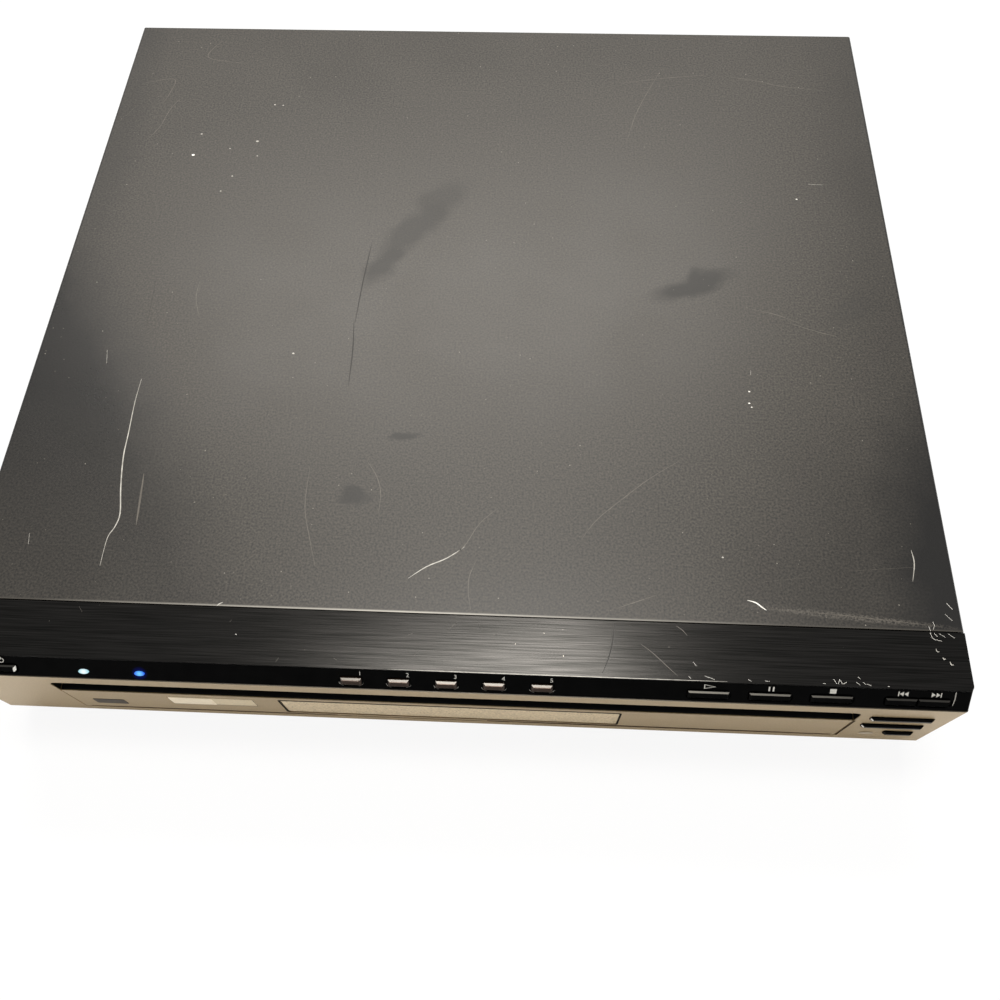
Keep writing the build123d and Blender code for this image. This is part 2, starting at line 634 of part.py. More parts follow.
def key(plane, width):
    cap = Pos(0, 0, (KEY_PROUD - WALL) / 2) * Box(width, KEY_TALL, KEY_PROUD + WALL)
    cap = chamfer(cap.faces().sort_by(Axis.Z)[-1].edges(), KEY_BEVEL)
    flange_top = -WALL - KEY_SLACK
    lips = Pos(0, 0, flange_top - KEY_FLANGE / 2) * Box(width, KEY_TALL + 2 * KEY_LIP, KEY_FLANGE)
    neck = Pos(0, 0, (flange_top - WALL) / 2) * Box(width, KEY_TALL, KEY_SLACK)
    stem = Pos(0, 0, flange_top - KEY_FLANGE - KEY_STEM_LENGTH / 2) * Cylinder(KEY_STEM, KEY_STEM_LENGTH)
    return plane * (cap + neck + lips + stem)


def key_hole(plane, width):
    return plane * Box(width + 2 * KEY_GAP, KEY_TALL + 2 * KEY_GAP, 4 * WALL)


def key_dish(plane, width):
    length = width + 2 * KEY_GAP + 2 * KEY_DISH
    outline = SlotOverall(length, KEY_TALL + 2 * KEY_GAP + 2 * KEY_DISH_EDGE)
    return plane * Pos(0, 0, -KEY_DISH_DEPTH) * extrude(outline, amount=KEY_DISH_DEPTH + OVERCUT)


def key_holes(names):
    holes = Part()
    for name in names:
        holes += key_hole(*KEYS[name])
    return holes


FACE_KEYS = [name for name in KEYS if name not in BAND_KEYS]


def lens_planes():
    return [band_plane(x, LENS_PLACE) for x in LENS_XS]


def lens(plane, width, tall, room=0.0):
    body = extrude(Ellipse(width / 2 + room, tall / 2 + room), amount=WALL + LENS_PROUD + room)
    return plane * Pos(0, 0, -WALL) * body


def rounded_top(wall, radius):
    return fillet(wall.edges().filter_by(Axis.Y).group_by(Axis.Z)[-1], radius)


def front_bezel():
    half = HALF_WIDTH
    undercut = [(Y_FRONT + UNDERCUT_RUN, Z_PAN), (Y_FRONT, Z_FACE)]
    outline = Polygon((Y_SEAM, Z_PAN), *undercut, (Y_FRONT, Z_BAND), (Y_SEAM, Z_BAND))
    outer = side_section(outline, (-half, half))
    corners = outer.edges().filter_by(lambda edge: abs(abs(edge.center().X) - half) < 0.01)
    corners = corners.filter_by(lambda edge: edge.center().Y < Y_FRONT + UNDERCUT_RUN - 0.1)
    outer = fillet(corners, CORNER)
    back = Y_SEAM + OPEN_REACH
    top = Z_BAND + OPEN_REACH
    hollow = offset(Polygon((back, Z_PAN), *undercut, (Y_FRONT, top), (back, top)),
                    amount=-WALL, kind=Kind.INTERSECTION)
    bezel = outer - side_section(hollow, (WALL - half, half - WALL))
    opening_x = (-DOOR_HALF - DOOR_GAP, DOOR_HALF + DOOR_GAP)
    opening_z = (Z_DOOR - DOOR_GAP, Z_DOOR_TOP + DOOR_GAP)
    depth = (Y_FRONT + WALL / 2, Y_FRONT + WALL + COLLAR_DEPTH)
    bezel += block((opening_x[0] - COLLAR, opening_x[1] + COLLAR), depth,
                   (opening_z[0] - COLLAR, opening_z[1] + COLLAR))
    for z in SIDE_POSTS_Z:
        bezel += along_y(FACE_KEY_X, z, (Y_FRONT + WALL / 2, Y_FRONT - BOARD_FACE), BOARD_POST)
    bezel -= rounded_top(block(opening_x, past((Y_FRONT, depth[1])), opening_z), RECESS_CORNER + DOOR_GAP)
    bezel -= lens(face_plane(SENSOR_X, SENSOR_Z), SENSOR_WIDTH, SENSOR_TALL, SCREW_ROOM)
    return bezel - key_holes(FACE_KEYS)


def key_band():
    half = HALF_WIDTH
    slope = (Y_FRONT + BAND_RUN, Z_LEDGE)
    rear = (Y_SEAM, Z_LEDGE + TRIM_RISE)
    outer = side_section(Polygon((Y_FRONT, Z_BAND), slope, rear, (Y_SEAM, Z_BAND)), (-half, half))
    corners = outer.edges().filter_by(lambda edge: abs(abs(edge.center().X) - half) < 0.01)
    corners = corners.filter_by(lambda edge: edge.center().Y < Y_FRONT + BAND_RUN - 0.1)
    outer = fillet(corners, CORNER)
    reach = OPEN_REACH / BAND_HEIGHT
    low = (Y_FRONT - BAND_RUN * reach, Z_BAND - OPEN_REACH)
    far = (Y_SEAM + OPEN_REACH, rear[1])
    hollow = offset(Polygon(low, slope, rear, far, (far[0], low[1])), amount=-WALL, kind=Kind.INTERSECTION)
    band = outer - side_section(hollow, (WALL - half, half - WALL))
    for x in BAND_POSTS_X:
        post = Pos(0, 0, (BOARD_FACE - WALL / 2) / 2) * Cylinder(BOARD_POST, -WALL / 2 - BOARD_FACE)
        band += band_plane(x, KEY_PLACE) * post
    for plane in lens_planes():
        band -= lens(plane, LENS_WIDTH, LENS_TALL, SCREW_ROOM)
    for name in BAND_KEYS:
        band -= key_dish(*KEYS[name])
    gap_y = (Y_FRONT - OVERCUT, Y_FRONT + WALL + BAND_RUN / 2)
    band -= block(past((-half, half)), gap_y, (Z_BAND - OVERCUT, Z_BAND + BAND_GAP))
    return band - key_holes(BAND_KEYS)


def top_trim_plate():
    front = Y_FRONT + BAND_RUN
    rear = Z_LEDGE + TRIM_RISE
    outline = Polygon((front, Z_LEDGE), (Y_SEAM, rear), (Y_SEAM, rear + TRIM_SHEET),
                      (front, Z_LEDGE + TRIM_SHEET))
    plate = side_section(outline, (-HALF_WIDTH, HALF_WIDTH))
    corners = plate.edges().filter_by(Axis.Z).filter_by(lambda edge: edge.center().Y < front + 0.1)
    return fillet(corners, 2 * CORNER)


def key_boards():
    length = 2 * (HALF_WIDTH - WALL - KEY_BOARD_END)
    strip = Pos(0, 0, BOARD_FACE - BOARD_SHEET / 2) * Box(length, KEY_BOARD_TALL, BOARD_SHEET)
    band_board = band_plane(0, KEY_PLACE - KEY_BOARD_SHIFT) * strip
    back = Y_FRONT - BOARD_FACE
    side_board = block(SIDE_BOARD_X, (back, back + BOARD_SHEET), SIDE_BOARD_Z)
    return Compound([band_board.solid(), side_board.solid()])


def key_switches():
    switch = Pos(0, 0, BOARD_FACE + SWITCH_HEIGHT / 2) * Box(SWITCH_SIZE, SWITCH_SIZE, SWITCH_HEIGHT)
    lamp_top = -WALL - RUN_GAP
    lamp = Pos(0, 0, (BOARD_FACE + lamp_top) / 2) * Cylinder(LENS_TALL / 2, lamp_top - BOARD_FACE)
    pieces = [(plane * switch).solid() for plane, _ in KEYS.values()]
    pieces += [(plane * lamp).solid() for plane in lens_planes()]
    pieces.append((face_plane(SENSOR_X, SENSOR_Z) * lamp).solid())
    return Compound(pieces)


# Drawer door
def window_frame(room):
    width = WINDOW_WIDTH - 2 * room
    height = WINDOW_HEIGHT - 2 * room
    return Pos(WINDOW_X, WINDOW_MIDDLE) * RectangleRounded(width, height, WINDOW_CORNER)


def towards_back(sketch, y):
    front = Plane((0, y[0], 0), x_dir=(1, 0, 0), z_dir=(0, -1, 0))
    return extrude(front * sketch, amount=y[1] - y[0], dir=(0, 1, 0))


WINDOW_MIDDLE = Z_DOOR + WINDOW_RISE + WINDOW_HEIGHT / 2
DISPLAY_BOARD_Y = Y_FRONT + DISPLAY_DEPTH
DISPLAY_HALF = WINDOW_WIDTH / 2 + WINDOW_FLANGE + DISPLAY_MARGIN
DOOR_LUG_X = (TRAY_HALF - DOOR_LUG_INSET - DOOR_LUG, TRAY_HALF - DOOR_LUG_INSET)


def tray_door():
    door_back = Y_FRONT + DOOR_THICKNESS
    door = block((-DOOR_HALF, DOOR_HALF), (Y_FRONT, door_back), (Z_DOOR, Z_DOOR_RIM))
    rebate = (Z_DOOR_RIM - RECESS_LEDGE, Z_DOOR_RIM + OVERCUT)
    door -= block(past((-DOOR_HALF, DOOR_HALF)), (Y_FRONT + DOOR_RIM, door_back + OVERCUT), rebate)
    door -= towards_back(window_frame(0), past((Y_FRONT, door_back)))
    root = door_back - DOOR_THICKNESS / 2
    lug_z = (Z_TRAY - DOOR_LUG, Z_DOOR_RIM - RECESS_LEDGE - DOOR_GAP)
    door += both_sides(block(DOOR_LUG_X, (root, Y_TRAY), lug_z))
    boss_x = (DISPLAY_HALF - DISPLAY_BOSS, DISPLAY_HALF)
    boss_z = (WINDOW_MIDDLE - DISPLAY_BOSS, WINDOW_MIDDLE + DISPLAY_BOSS)
    return door + Pos(WINDOW_X, 0, 0) * both_sides(block(boss_x, (root, DISPLAY_BOARD_Y), boss_z))


def door_recess_strip():
    ledge_y = (Y_FRONT + DOOR_RIM, Y_FRONT + RECESS_DEPTH)
    x = (-DOOR_HALF, DOOR_HALF)
    ledge = block(x, ledge_y, (Z_DOOR_RIM - RECESS_LEDGE, Z_DOOR_RIM))
    wall_y = (ledge_y[1], ledge_y[1] + RECESS_WALL)
    return ledge + rounded_top(block(x, wall_y, (Z_DOOR_RIM - RECESS_LEDGE, Z_DOOR_TOP)), RECESS_CORNER)


def display_window():
    door_back = Y_FRONT + DOOR_THICKNESS
    pane = towards_back(window_frame(WINDOW_GAP), (Y_FRONT + WINDOW_INSET, door_back))
    half = WINDOW_WIDTH / 2 + WINDOW_FLANGE
    low = Z_DOOR + WINDOW_RISE - WINDOW_FLANGE
    high = Z_DOOR_RIM - RECESS_LEDGE - RUN_GAP
    flange_x = (WINDOW_X - half, WINDOW_X + half)
    return pane + block(flange_x, (door_back, door_back + WINDOW_SHEET), (low, high))


def display_module():
    glass_y = (Y_FRONT + DOOR_THICKNESS + WINDOW_SHEET + RUN_GAP, DISPLAY_BOARD_Y)
    half = WINDOW_WIDTH / 2 - DISPLAY_SIDE
    tall = WINDOW_HEIGHT / 2 - DISPLAY_EDGE
    glass_x = (WINDOW_X - half, WINDOW_X + half)
    glass = block(glass_x, glass_y, (WINDOW_MIDDLE - tall, WINDOW_MIDDLE + tall))
    board_z = (Z_DOOR + DISPLAY_EDGE, Z_DOOR_RIM - RECESS_LEDGE - DOOR_GAP)
    board_y = (DISPLAY_BOARD_Y, DISPLAY_BOARD_Y + BOARD_SHEET)
    board = block((WINDOW_X - DISPLAY_HALF, WINDOW_X + DISPLAY_HALF), board_y, board_z)
    return Compound([glass.solid(), board.solid()])


# Tray, carousel and table drive
DRIVE_SPAN = DRIVE_MODULE * (RING_TEETH + PINION_TEETH) / 2
TABLE_GEAR_AT = (DRIVE_SPAN * cos(DRIVE_HEADING), Y_CAROUSEL + DRIVE_SPAN * sin(DRIVE_HEADING))
TABLE_MOTOR_AT = (TABLE_GEAR_AT[0] + TABLE_MOTOR_REACH * cos(DRIVE_HEADING),
                  TABLE_GEAR_AT[1] + TABLE_MOTOR_REACH * sin(DRIVE_HEADING))
Z_TABLE_PULLEY = Z_TRAY_TOP + RUN_GAP
LOADING_AT_Y = Y_SEAM + LOADING_SETBACK
RACK_LINE_X = -TRAY_HALF + RACK_INSET
LOADING_RADIUS = DRIVE_MODULE * PINION_TEETH / 2
LOADING_AT = (RACK_LINE_X + LOADING_RADIUS, LOADING_AT_Y)
LOADING_MOTOR_AT = (LOADING_AT[0] + LOADING_MOTOR_REACH, LOADING_AT_Y)
Z_RACK = Z_TRAY - RACK_HEIGHT
Z_FRAME = Z_PAN_TOP + FRAME_FLOOR
Z_LOADING_PULLEY = Z_RACK - RUN_GAP - PULLEY_HEIGHT
BASE_SLOT_Y = Y_SPINDLE - TURNTABLE_RADIUS - BASE_FRONT
SUPPORT_CIRCLE = 0.75 * SEAT_CIRCLE


def tray():
    floor = Pos(0, (Y_TRAY + Y_CAROUSEL) / 2) * Rectangle(2 * TRAY_HALF, Y_CAROUSEL - Y_TRAY)
    floor += Pos(0, Y_CAROUSEL) * Circle(TRAY_HALF)
    rail_y = (Y_TRAY + Y_TRAY_END) / 2
    rail_width = TRAY_WALL + TONGUE
    for side in (-1, 1):
        rail_x = side * (TONGUE_HALF - rail_width / 2)
        floor += Pos(rail_x, rail_y) * Rectangle(rail_width, Y_TRAY_END - Y_TRAY)
    body = raised(floor, (Z_TRAY, Z_TRAY_TOP))
    slot_half = BASE_SLOT_WIDTH / 2
    through = past((Z_TRAY, Z_TRAY_TOP))
    body -= block((-slot_half, slot_half), (BASE_SLOT_Y, Y_TRAY_END + OPEN_REACH), through)
    wall_top = Z_TRAY_TOP + TRAY_WALL_HEIGHT
    body += both_sides(block((TRAY_HALF - TRAY_WALL, TRAY_HALF), (Y_TRAY, Y_TRAY_END), (Z_TRAY, wall_top)))
    front_top = Z_DOOR_RIM - RECESS_LEDGE
    body += block((-TRAY_HALF, TRAY_HALF), (Y_TRAY, Y_TRAY + TRAY_WALL), (Z_TRAY, front_top))
    body += upright((0, Y_CAROUSEL), (Z_TRAY, Z_DECK - RUN_GAP), HUB_RADIUS)
    body += upright((0, Y_CAROUSEL), (Z_TRAY, Z_CAROUSEL + RUN_GAP), HUB_PIN_RADIUS)
    for angle in SUPPORT_ANGLES:
        at = (SUPPORT_CIRCLE * cos(radians(angle)), Y_CAROUSEL + SUPPORT_CIRCLE * sin(radians(angle)))
        body += upright(at, (Z_TRAY, Z_DECK - RUN_GAP), STANDOFF_RADIUS)
    body += upright(TABLE_GEAR_AT, (Z_TRAY, Z_DECK - RUN_GAP), SHAFT_RADIUS)
    body -= upright(TABLE_MOTOR_AT, through, MOTOR_SHAFT + RUN_GAP)
    rack = rack_sketch(DRIVE_MODULE, RACK_BACK, -RACK_SPARE, TRAY_TRAVEL + RACK_SPARE)
    rack_z = (Z_RACK, Z_TRAY + TRAY_FLOOR / 2)
    return body + Pos(RACK_LINE_X, LOADING_AT_Y, 0) * raised(rack, rack_z)


def carousel():
    deck = raised(Circle(CAROUSEL_RADIUS), (Z_DECK, Z_CAROUSEL))
    open_top = Z_CAROUSEL + OVERCUT
    seat = raised(Circle(SEAT_RADIUS), (Z_SEAT, open_top))
    small_radius = SMALL_DISC_DIAMETER / 2 + DISC_ROOM
    seat += raised(Circle(small_radius), (Z_SEAT - SMALL_SEAT_DEPTH, open_top))
    slot = Circle(SEAT_SLOT_WIDTH / 2)
    slot += Pos(CAROUSEL_RADIUS / 2, 0) * Rectangle(CAROUSEL_RADIUS, SEAT_SLOT_WIDTH)
    seat += raised(slot, past((Z_DECK, Z_CAROUSEL)))
    for place in PolarLocations(SEAT_CIRCLE, DISC_COUNT, start_angle=90):
        deck -= place * seat
    ring = gear_sketch(RING_TEETH, DRIVE_MODULE, DRIVE_HEADING)
    ring -= Circle(DRIVE_MODULE * RING_TEETH / 2 - DEDENDUM * DRIVE_MODULE - RING_WALL)
    deck += raised(ring, (Z_DECK - RING_HEIGHT, Z_DECK))
    deck -= upright((0, 0), past((Z_DECK, Z_CAROUSEL)), HUB_PIN_RADIUS + BEARING)
    return Pos(0, Y_CAROUSEL, 0) * deck


def carousel_cap():
    low = Z_CAROUSEL + RUN_GAP
    cap = upright((0, Y_CAROUSEL), (low, low + CAP_HEIGHT), CAP_RADIUS)
    return chamfer(cap.edges().group_by(Axis.Z)[-1], CAP_HEIGHT / 2)


def table_motor():
    low = Z_TRAY - MOTOR_HEIGHT
    return motor(TABLE_MOTOR_AT, low, MOTOR_RADIUS, MOTOR_HEIGHT, Z_TABLE_PULLEY + PULLEY_HEIGHT)


def table_motor_pulley():
    return Pos(*TABLE_MOTOR_AT, Z_TABLE_PULLEY) * pulley(MOTOR_PULLEY_RADIUS, MOTOR_SHAFT + BEARING)


def table_belt():
    radii = (TABLE_PULLEY_RADIUS, MOTOR_PULLEY_RADIUS)
    return belt(TABLE_GEAR_AT, TABLE_MOTOR_AT, *radii, Z_TABLE_PULLEY)


def table_gear():
    gear = gear_sketch(PINION_TEETH, DRIVE_MODULE, DRIVE_HEADING + pi + pi / PINION_TEETH)
    gear -= Circle(SHAFT_RADIUS + BEARING)
    teeth = raised(gear, (PULLEY_HEIGHT, Z_DECK - RUN_GAP - Z_TABLE_PULLEY))
    wheel = pulley(TABLE_PULLEY_RADIUS, SHAFT_RADIUS + BEARING) + teeth
    return Pos(*TABLE_GEAR_AT, Z_TABLE_PULLEY) * wheel


# Mechanism frame and loading drive
GUIDE_X = (TONGUE_HALF + RUN_GAP, TONGUE_HALF + RUN_GAP + GUIDE_WALL)
GUIDE_START = Y_SEAM + 2 * CHASSIS_SHEET
LIP_X = (TRAY_HALF + 2 * RUN_GAP, GUIDE_X[1])
POST_X = (GUIDE_X[0], GUIDE_X[1] + POST_REACH)
POST_Y = (GUIDE_END - POST_DEPTH, GUIDE_END)
TOWER_X = (BASE_HALF + 2 * RUN_GAP, BASE_HALF + 2 * RUN_GAP + TOWER_WIDTH)
SLIDER_LINE = -BASE_HALF - SLIDER_OFFSET
SLIDER_X = (SLIDER_LINE - SLIDER_SHEET / 2, SLIDER_LINE + SLIDER_SHEET / 2)


def guide():
    lip_z = (Z_TRAY - RUN_GAP, Z_TRAY_TOP + RUN_GAP)
    span = (GUIDE_START, GUIDE_END)
    rail = block(GUIDE_X, span, (Z_PAN_TOP, lip_z[1] + GUIDE_LIP))
    rail += block(LIP_X, span, (lip_z[0] - GUIDE_LIP, lip_z[0]))
    rail += block(LIP_X, span, (lip_z[1], lip_z[1] + GUIDE_LIP))
    return rail + block(POST_X, POST_Y, (Z_PAN_TOP, Z_BRIDGE))


def slider_rib(x):
    span = (SLIDER_Y[0], SLIDER_Y[1] + LIFT_STROKE)
    return block(x, span, (Z_FRAME - FRAME_FLOOR / 2, Z_FRAME + SLIDER_RIB_HEIGHT))


def mech_frame():
    floor_z = (Z_PAN_TOP, Z_FRAME)
    frame = both_sides(guide())
    across = (-GUIDE_X[1], GUIDE_X[1])
    frame += block(across, (GUIDE_START, LOADING_AT_Y + LOADING_PULLEY_RADIUS), floor_z)
    frame += block(across, POST_Y, floor_z)
    bay = TOWER_X[1] + FRAME_MARGIN
    bay_end = Y_PIVOT + TOWER_HALF
    frame += block((-bay, bay), (POST_Y[0], bay_end), floor_z)
    hole = BASE_HALF - FRAME_HOLE_INSET
    hole_y = (GUIDE_END + FRAME_HOLE_INSET, bay_end - FRAME_HOLE_INSET)
    frame -= block((-hole, hole), hole_y, past(floor_z))
    tower_y = (Y_PIVOT - TOWER_HALF, Y_PIVOT + TOWER_HALF)
    tower = block(TOWER_X, tower_y, (Z_PAN_TOP, Z_PIVOT + TOWER_HALF))
    tower -= along_x(Y_PIVOT, Z_PIVOT, past(TOWER_X), PIVOT_RADIUS + BEARING)
    frame += both_sides(tower)
    frame += slider_rib((SLIDER_X[0] - RUN_GAP - SLIDER_RIB, SLIDER_X[0] - RUN_GAP))
    frame += slider_rib((SLIDER_X[1] + RUN_GAP, SLIDER_X[1] + RUN_GAP + SLIDER_RIB))
    frame += upright(LOADING_AT, (Z_PAN_TOP, Z_LOADING_PULLEY - RUN_GAP), 2 * SHAFT_RADIUS)
    return frame + upright(LOADING_AT, (Z_PAN_TOP, Z_TRAY - 2 * RUN_GAP), SHAFT_RADIUS)


def loading_motor():
    top = Z_LOADING_PULLEY + PULLEY_HEIGHT
    return motor(LOADING_MOTOR_AT, Z_FRAME, MOTOR_RADIUS, MOTOR_HEIGHT, top)


def loading_motor_pulley():
    wheel = pulley(MOTOR_PULLEY_RADIUS, MOTOR_SHAFT + BEARING)
    return Pos(*LOADING_MOTOR_AT, Z_LOADING_PULLEY) * wheel


def loading_belt():
    radii = (LOADING_PULLEY_RADIUS, MOTOR_PULLEY_RADIUS)
    return belt(LOADING_AT, LOADING_MOTOR_AT, *radii, Z_LOADING_PULLEY)


def loading_gear():
    gear = gear_sketch(PINION_TEETH, DRIVE_MODULE, pi + pi / PINION_TEETH)
    gear -= Circle(SHAFT_RADIUS + BEARING)
    teeth = raised(gear, (PULLEY_HEIGHT, PULLEY_HEIGHT + RACK_HEIGHT))
    wheel = pulley(LOADING_PULLEY_RADIUS, SHAFT_RADIUS + BEARING) + teeth
    return Pos(*LOADING_AT, Z_LOADING_PULLEY) * wheel


# Clamper above the playing position
def clamper_bridge():
    half = POST_X[1]
    sheet = (Z_BRIDGE, Z_BRIDGE + BRIDGE_SHEET)
    tongue = BRIDGE_WIDTH / 2
    tongue_y = (POST_Y[0], Y_SPINDLE + CLAMP_RADIUS + BRIDGE_MARGIN)
    bridge = block((-half, half), POST_Y, sheet)
    bridge += block((-tongue, tongue), tongue_y, sheet)
    flange_z = (sheet[0], sheet[1] + BRIDGE_FLANGE)
    bridge += block((-half, half), (POST_Y[0], POST_Y[0] + BRIDGE_SHEET), flange_z)
    bridge += both_sides(block((tongue - BRIDGE_SHEET, tongue), tongue_y, flange_z))
    return bridge - upright((0, Y_SPINDLE), past(sheet), CLAMP_NECK + CLAMP_PLAY)


def clamper():
    low = Z_DISC + TURNTABLE_HUB_HEIGHT + 2 * RUN_GAP
    seat = Z_BRIDGE + BRIDGE_SHEET + RUN_GAP
    rim = low + CLAMP_DISC
    top = seat + CLAMP_FLANGE
    profile = [(0, low), (CLAMP_RADIUS, low), (CLAMP_RADIUS, rim), (CLAMP_NECK, rim + CLAMP_CONE),
               (CLAMP_NECK, seat), (CLAMP_RADIUS, seat), (CLAMP_RADIUS, top), (0, top)]
    return Pos(0, Y_SPINDLE, 0) * turned(profile)


# Optical unit, drawn level as when it plays and then lowered about its pivot
def lowered(shape):
    return shape.rotate(Axis((0, Y_PIVOT, Z_PIVOT), (1, 0, 0)), BASE_TILT)


def lowered_point(y, z):
    tilt = radians(BASE_TILT)
    along = y - Y_PIVOT
    up = z - Z_PIVOT
    return (Y_PIVOT + along * cos(tilt) - up * sin(tilt), Z_PIVOT + along * sin(tilt) + up * cos(tilt))


Z_ROD = Z_BASE + ROD_RISE
PICKUP_Y = (Y_SPINDLE + PICKUP_HOME, Y_SPINDLE + PICKUP_HOME + PICKUP_LENGTH)
ROD_Y = (PICKUP_Y[0] - ROD_END, PICKUP_Y[1] + PICKUP_TRAVEL + ROD_END)
SLED_AT = (SLED_X, PICKUP_Y[1] + SLED_LEAD)
Z_SLED = Z_BASE + SLED_RISE
PIN_AT = (Y_PIVOT - LIFT_ARM, Z_PIVOT + LIFT_PIN_RISE)
PIN_LOW = lowered_point(*PIN_AT)
PIN_HIGH = (PIN_AT[0] - LIFT_STROKE, PIN_AT[1])
SLIDER_Y = (PIN_HIGH[0] - SLIDER_MARGIN, PIN_LOW[0] + SLIDER_MARGIN)


def base_frame():
    plate_z = (Z_BASE - BASE_SHEET, Z_BASE)
    front = Y_SPINDLE - BASE_FRONT
    rear = Y_PIVOT + PIVOT_RADIUS + PIVOT_MARGIN
    frame = block((-BASE_HALF, BASE_HALF), (front, rear), plate_z)
    well = (ROD_Y[0] + ROD_END, ROD_Y[1] - ROD_END)
    frame -= block(past((-PICKUP_HALF, PICKUP_HALF)), well, past(plate_z))
    deep = Z_PIVOT - PIVOT_RADIUS - PIVOT_MARGIN / 2
    rib = Polygon((front, Z_BASE), (front, Z_BASE - RIB_DEPTH), (Y_PIVOT - PIVOT_DROP, deep), (rear, deep),
                  (rear, Z_BASE))
    frame += both_sides(side_section(rib, (BASE_HALF - BASE_SHEET, BASE_HALF)))
    frame += both_sides(along_x(Y_PIVOT, Z_PIVOT, (BASE_HALF - BASE_SHEET, TOWER_X[1]), PIVOT_RADIUS))
    frame += along_x(PIN_AT[0], PIN_AT[1], (SLIDER_X[0] - RUN_GAP, -BASE_HALF + BASE_SHEET), LIFT_PIN)
    for y in ROD_Y:
        ear_y = (y - ROD_END / 2, y + ROD_END / 2)
        ear = block((ROD_X - ROD_EAR, ROD_X + ROD_EAR), ear_y, (Z_BASE - BASE_SHEET / 2, Z_ROD + ROD_EAR))
        frame += both_sides(ear)
    frame -= both_sides(along_y(ROD_X, Z_ROD, ROD_Y, ROD_RADIUS + BEARING))
    frame -= upright(SLED_AT, past(plate_z), MOTOR_SHAFT + RUN_GAP)
    return lowered(frame)


def spindle_motor():
    top = Z_DISC - TURNTABLE_SHEET + TURNTABLE_BORE - RUN_GAP
    return lowered(motor((0, Y_SPINDLE), Z_BASE, MOTOR_RADIUS, SPINDLE_MOTOR_HEIGHT, top))


def turntable():
    low = Z_DISC - TURNTABLE_SHEET
    top = Z_DISC + TURNTABLE_HUB_HEIGHT
    bore = MOTOR_SHAFT + BEARING
    profile = [(bore, low), (TURNTABLE_RADIUS, low), (TURNTABLE_RADIUS, Z_DISC), (TURNTABLE_HUB, Z_DISC),
               (TURNTABLE_HUB - TURNTABLE_CONE, top), (0, top), (0, low + TURNTABLE_BORE),
               (bore, low + TURNTABLE_BORE)]
    return lowered(Pos(0, Y_SPINDLE, 0) * turned(profile))


def pickup():
    low = Z_BASE + PICKUP_RISE
    body = block((-PICKUP_HALF, PICKUP_HALF), PICKUP_Y, (low, low + PICKUP_HEIGHT))
    body = chamfer(body.faces().sort_by(Axis.Z)[-1].edges().filter_by(Axis.X), PICKUP_BEVEL)
    body += upright((0, PICKUP_Y[0] + PICKUP_LENS_PLACE), (low, Z_DISC - PICKUP_LENS_GAP), PICKUP_LENS)
    lug_x = (PICKUP_HALF - PICKUP_LUG_INSET, SLED_RACK_X - SLED_RACK_BACK)
    lug_y = (PICKUP_Y[0] + PICKUP_LUG_INSET, PICKUP_Y[1] - PICKUP_LUG_INSET)
    body += both_sides(block(lug_x, lug_y, (Z_ROD - PICKUP_LUG_DROP, Z_ROD + PICKUP_LUG_INSET)))
    body -= both_sides(along_y(ROD_X, Z_ROD, past(PICKUP_Y), ROD_RADIUS + BEARING))
    rack = rack_sketch(SLED_MODULE, SLED_RACK_BACK, -PICKUP_TRAVEL - SLED_RACK_SPARE, SLED_RACK_SPARE)
    rack_z = (Z_SLED + RUN_GAP, Z_SLED + SLED_HEIGHT)
    return lowered(body + Pos(SLED_RACK_X, SLED_AT[1], 0) * raised(rack, rack_z))


def guide_rods():
    return lowered(both_sides(along_y(ROD_X, Z_ROD, ROD_Y, ROD_RADIUS)))


def sled_motor():
    low = Z_BASE - BASE_SHEET - SLED_MOTOR_HEIGHT
    return lowered(motor(SLED_AT, low, SLED_MOTOR_RADIUS, SLED_MOTOR_HEIGHT, Z_SLED + SLED_HEIGHT))


def sled_gear():
    gear = gear_sketch(SLED_TEETH, SLED_MODULE, pi + pi / SLED_TEETH) - Circle(MOTOR_SHAFT + BEARING)
    return lowered(Pos(*SLED_AT) * raised(gear, (Z_SLED, Z_SLED + SLED_HEIGHT)))


def lift_slider():
    low = Z_FRAME + RUN_GAP
    high = Z_TRAY - 2 * RUN_GAP
    outline = Polygon((SLIDER_Y[0], low), (SLIDER_Y[1], low), (SLIDER_Y[1], PIN_LOW[1] + SLIDER_MARGIN),
                      (PIN_HIGH[0] + SLIDER_MARGIN, high), (SLIDER_Y[0], high))
    outline -= stadium(PIN_LOW, PIN_HIGH, LIFT_PIN + RUN_GAP, LIFT_PIN + RUN_GAP)
    return side_section(outline, SLIDER_X)


# Electronics and sockets
def board(x):
    return block(x, BOARD_Y, (Z_BOARD, Z_BOARD_TOP))


def main_board():
    pieces = [board(BOARD_X).solid()]
    for right, back, width, depth, height in CHIPS:
        x = (BOARD_X[0] + right, BOARD_X[0] + right + width)
        y = (BOARD_Y[0] + back, BOARD_Y[0] + back + depth)
        pieces.append(block(x, y, (Z_BOARD_TOP, Z_BOARD_TOP + height)).solid())
    return Compound(pieces)


def power_board():
    pieces = [board((-BOARD_X[1], -BOARD_X[0])).solid()]
    z = (Z_BOARD_TOP, Z_BOARD_TOP + CAPACITOR_HEIGHT)
    for left, back, radius in CAPACITORS:
        pieces.append(upright((-BOARD_X[0] - left, BOARD_Y[0] + back), z, radius).solid())
    sink = (-BOARD_X[0] - HEAT_SINK_PLACE[0], BOARD_Y[0] + HEAT_SINK_PLACE[1])
    fin = block((sink[0] - HEAT_SINK_SIZE[0], sink[0]), (sink[1], sink[1] + HEAT_SINK_SIZE[1]), z)
    pieces.append(fin.solid())
    return Compound(pieces)


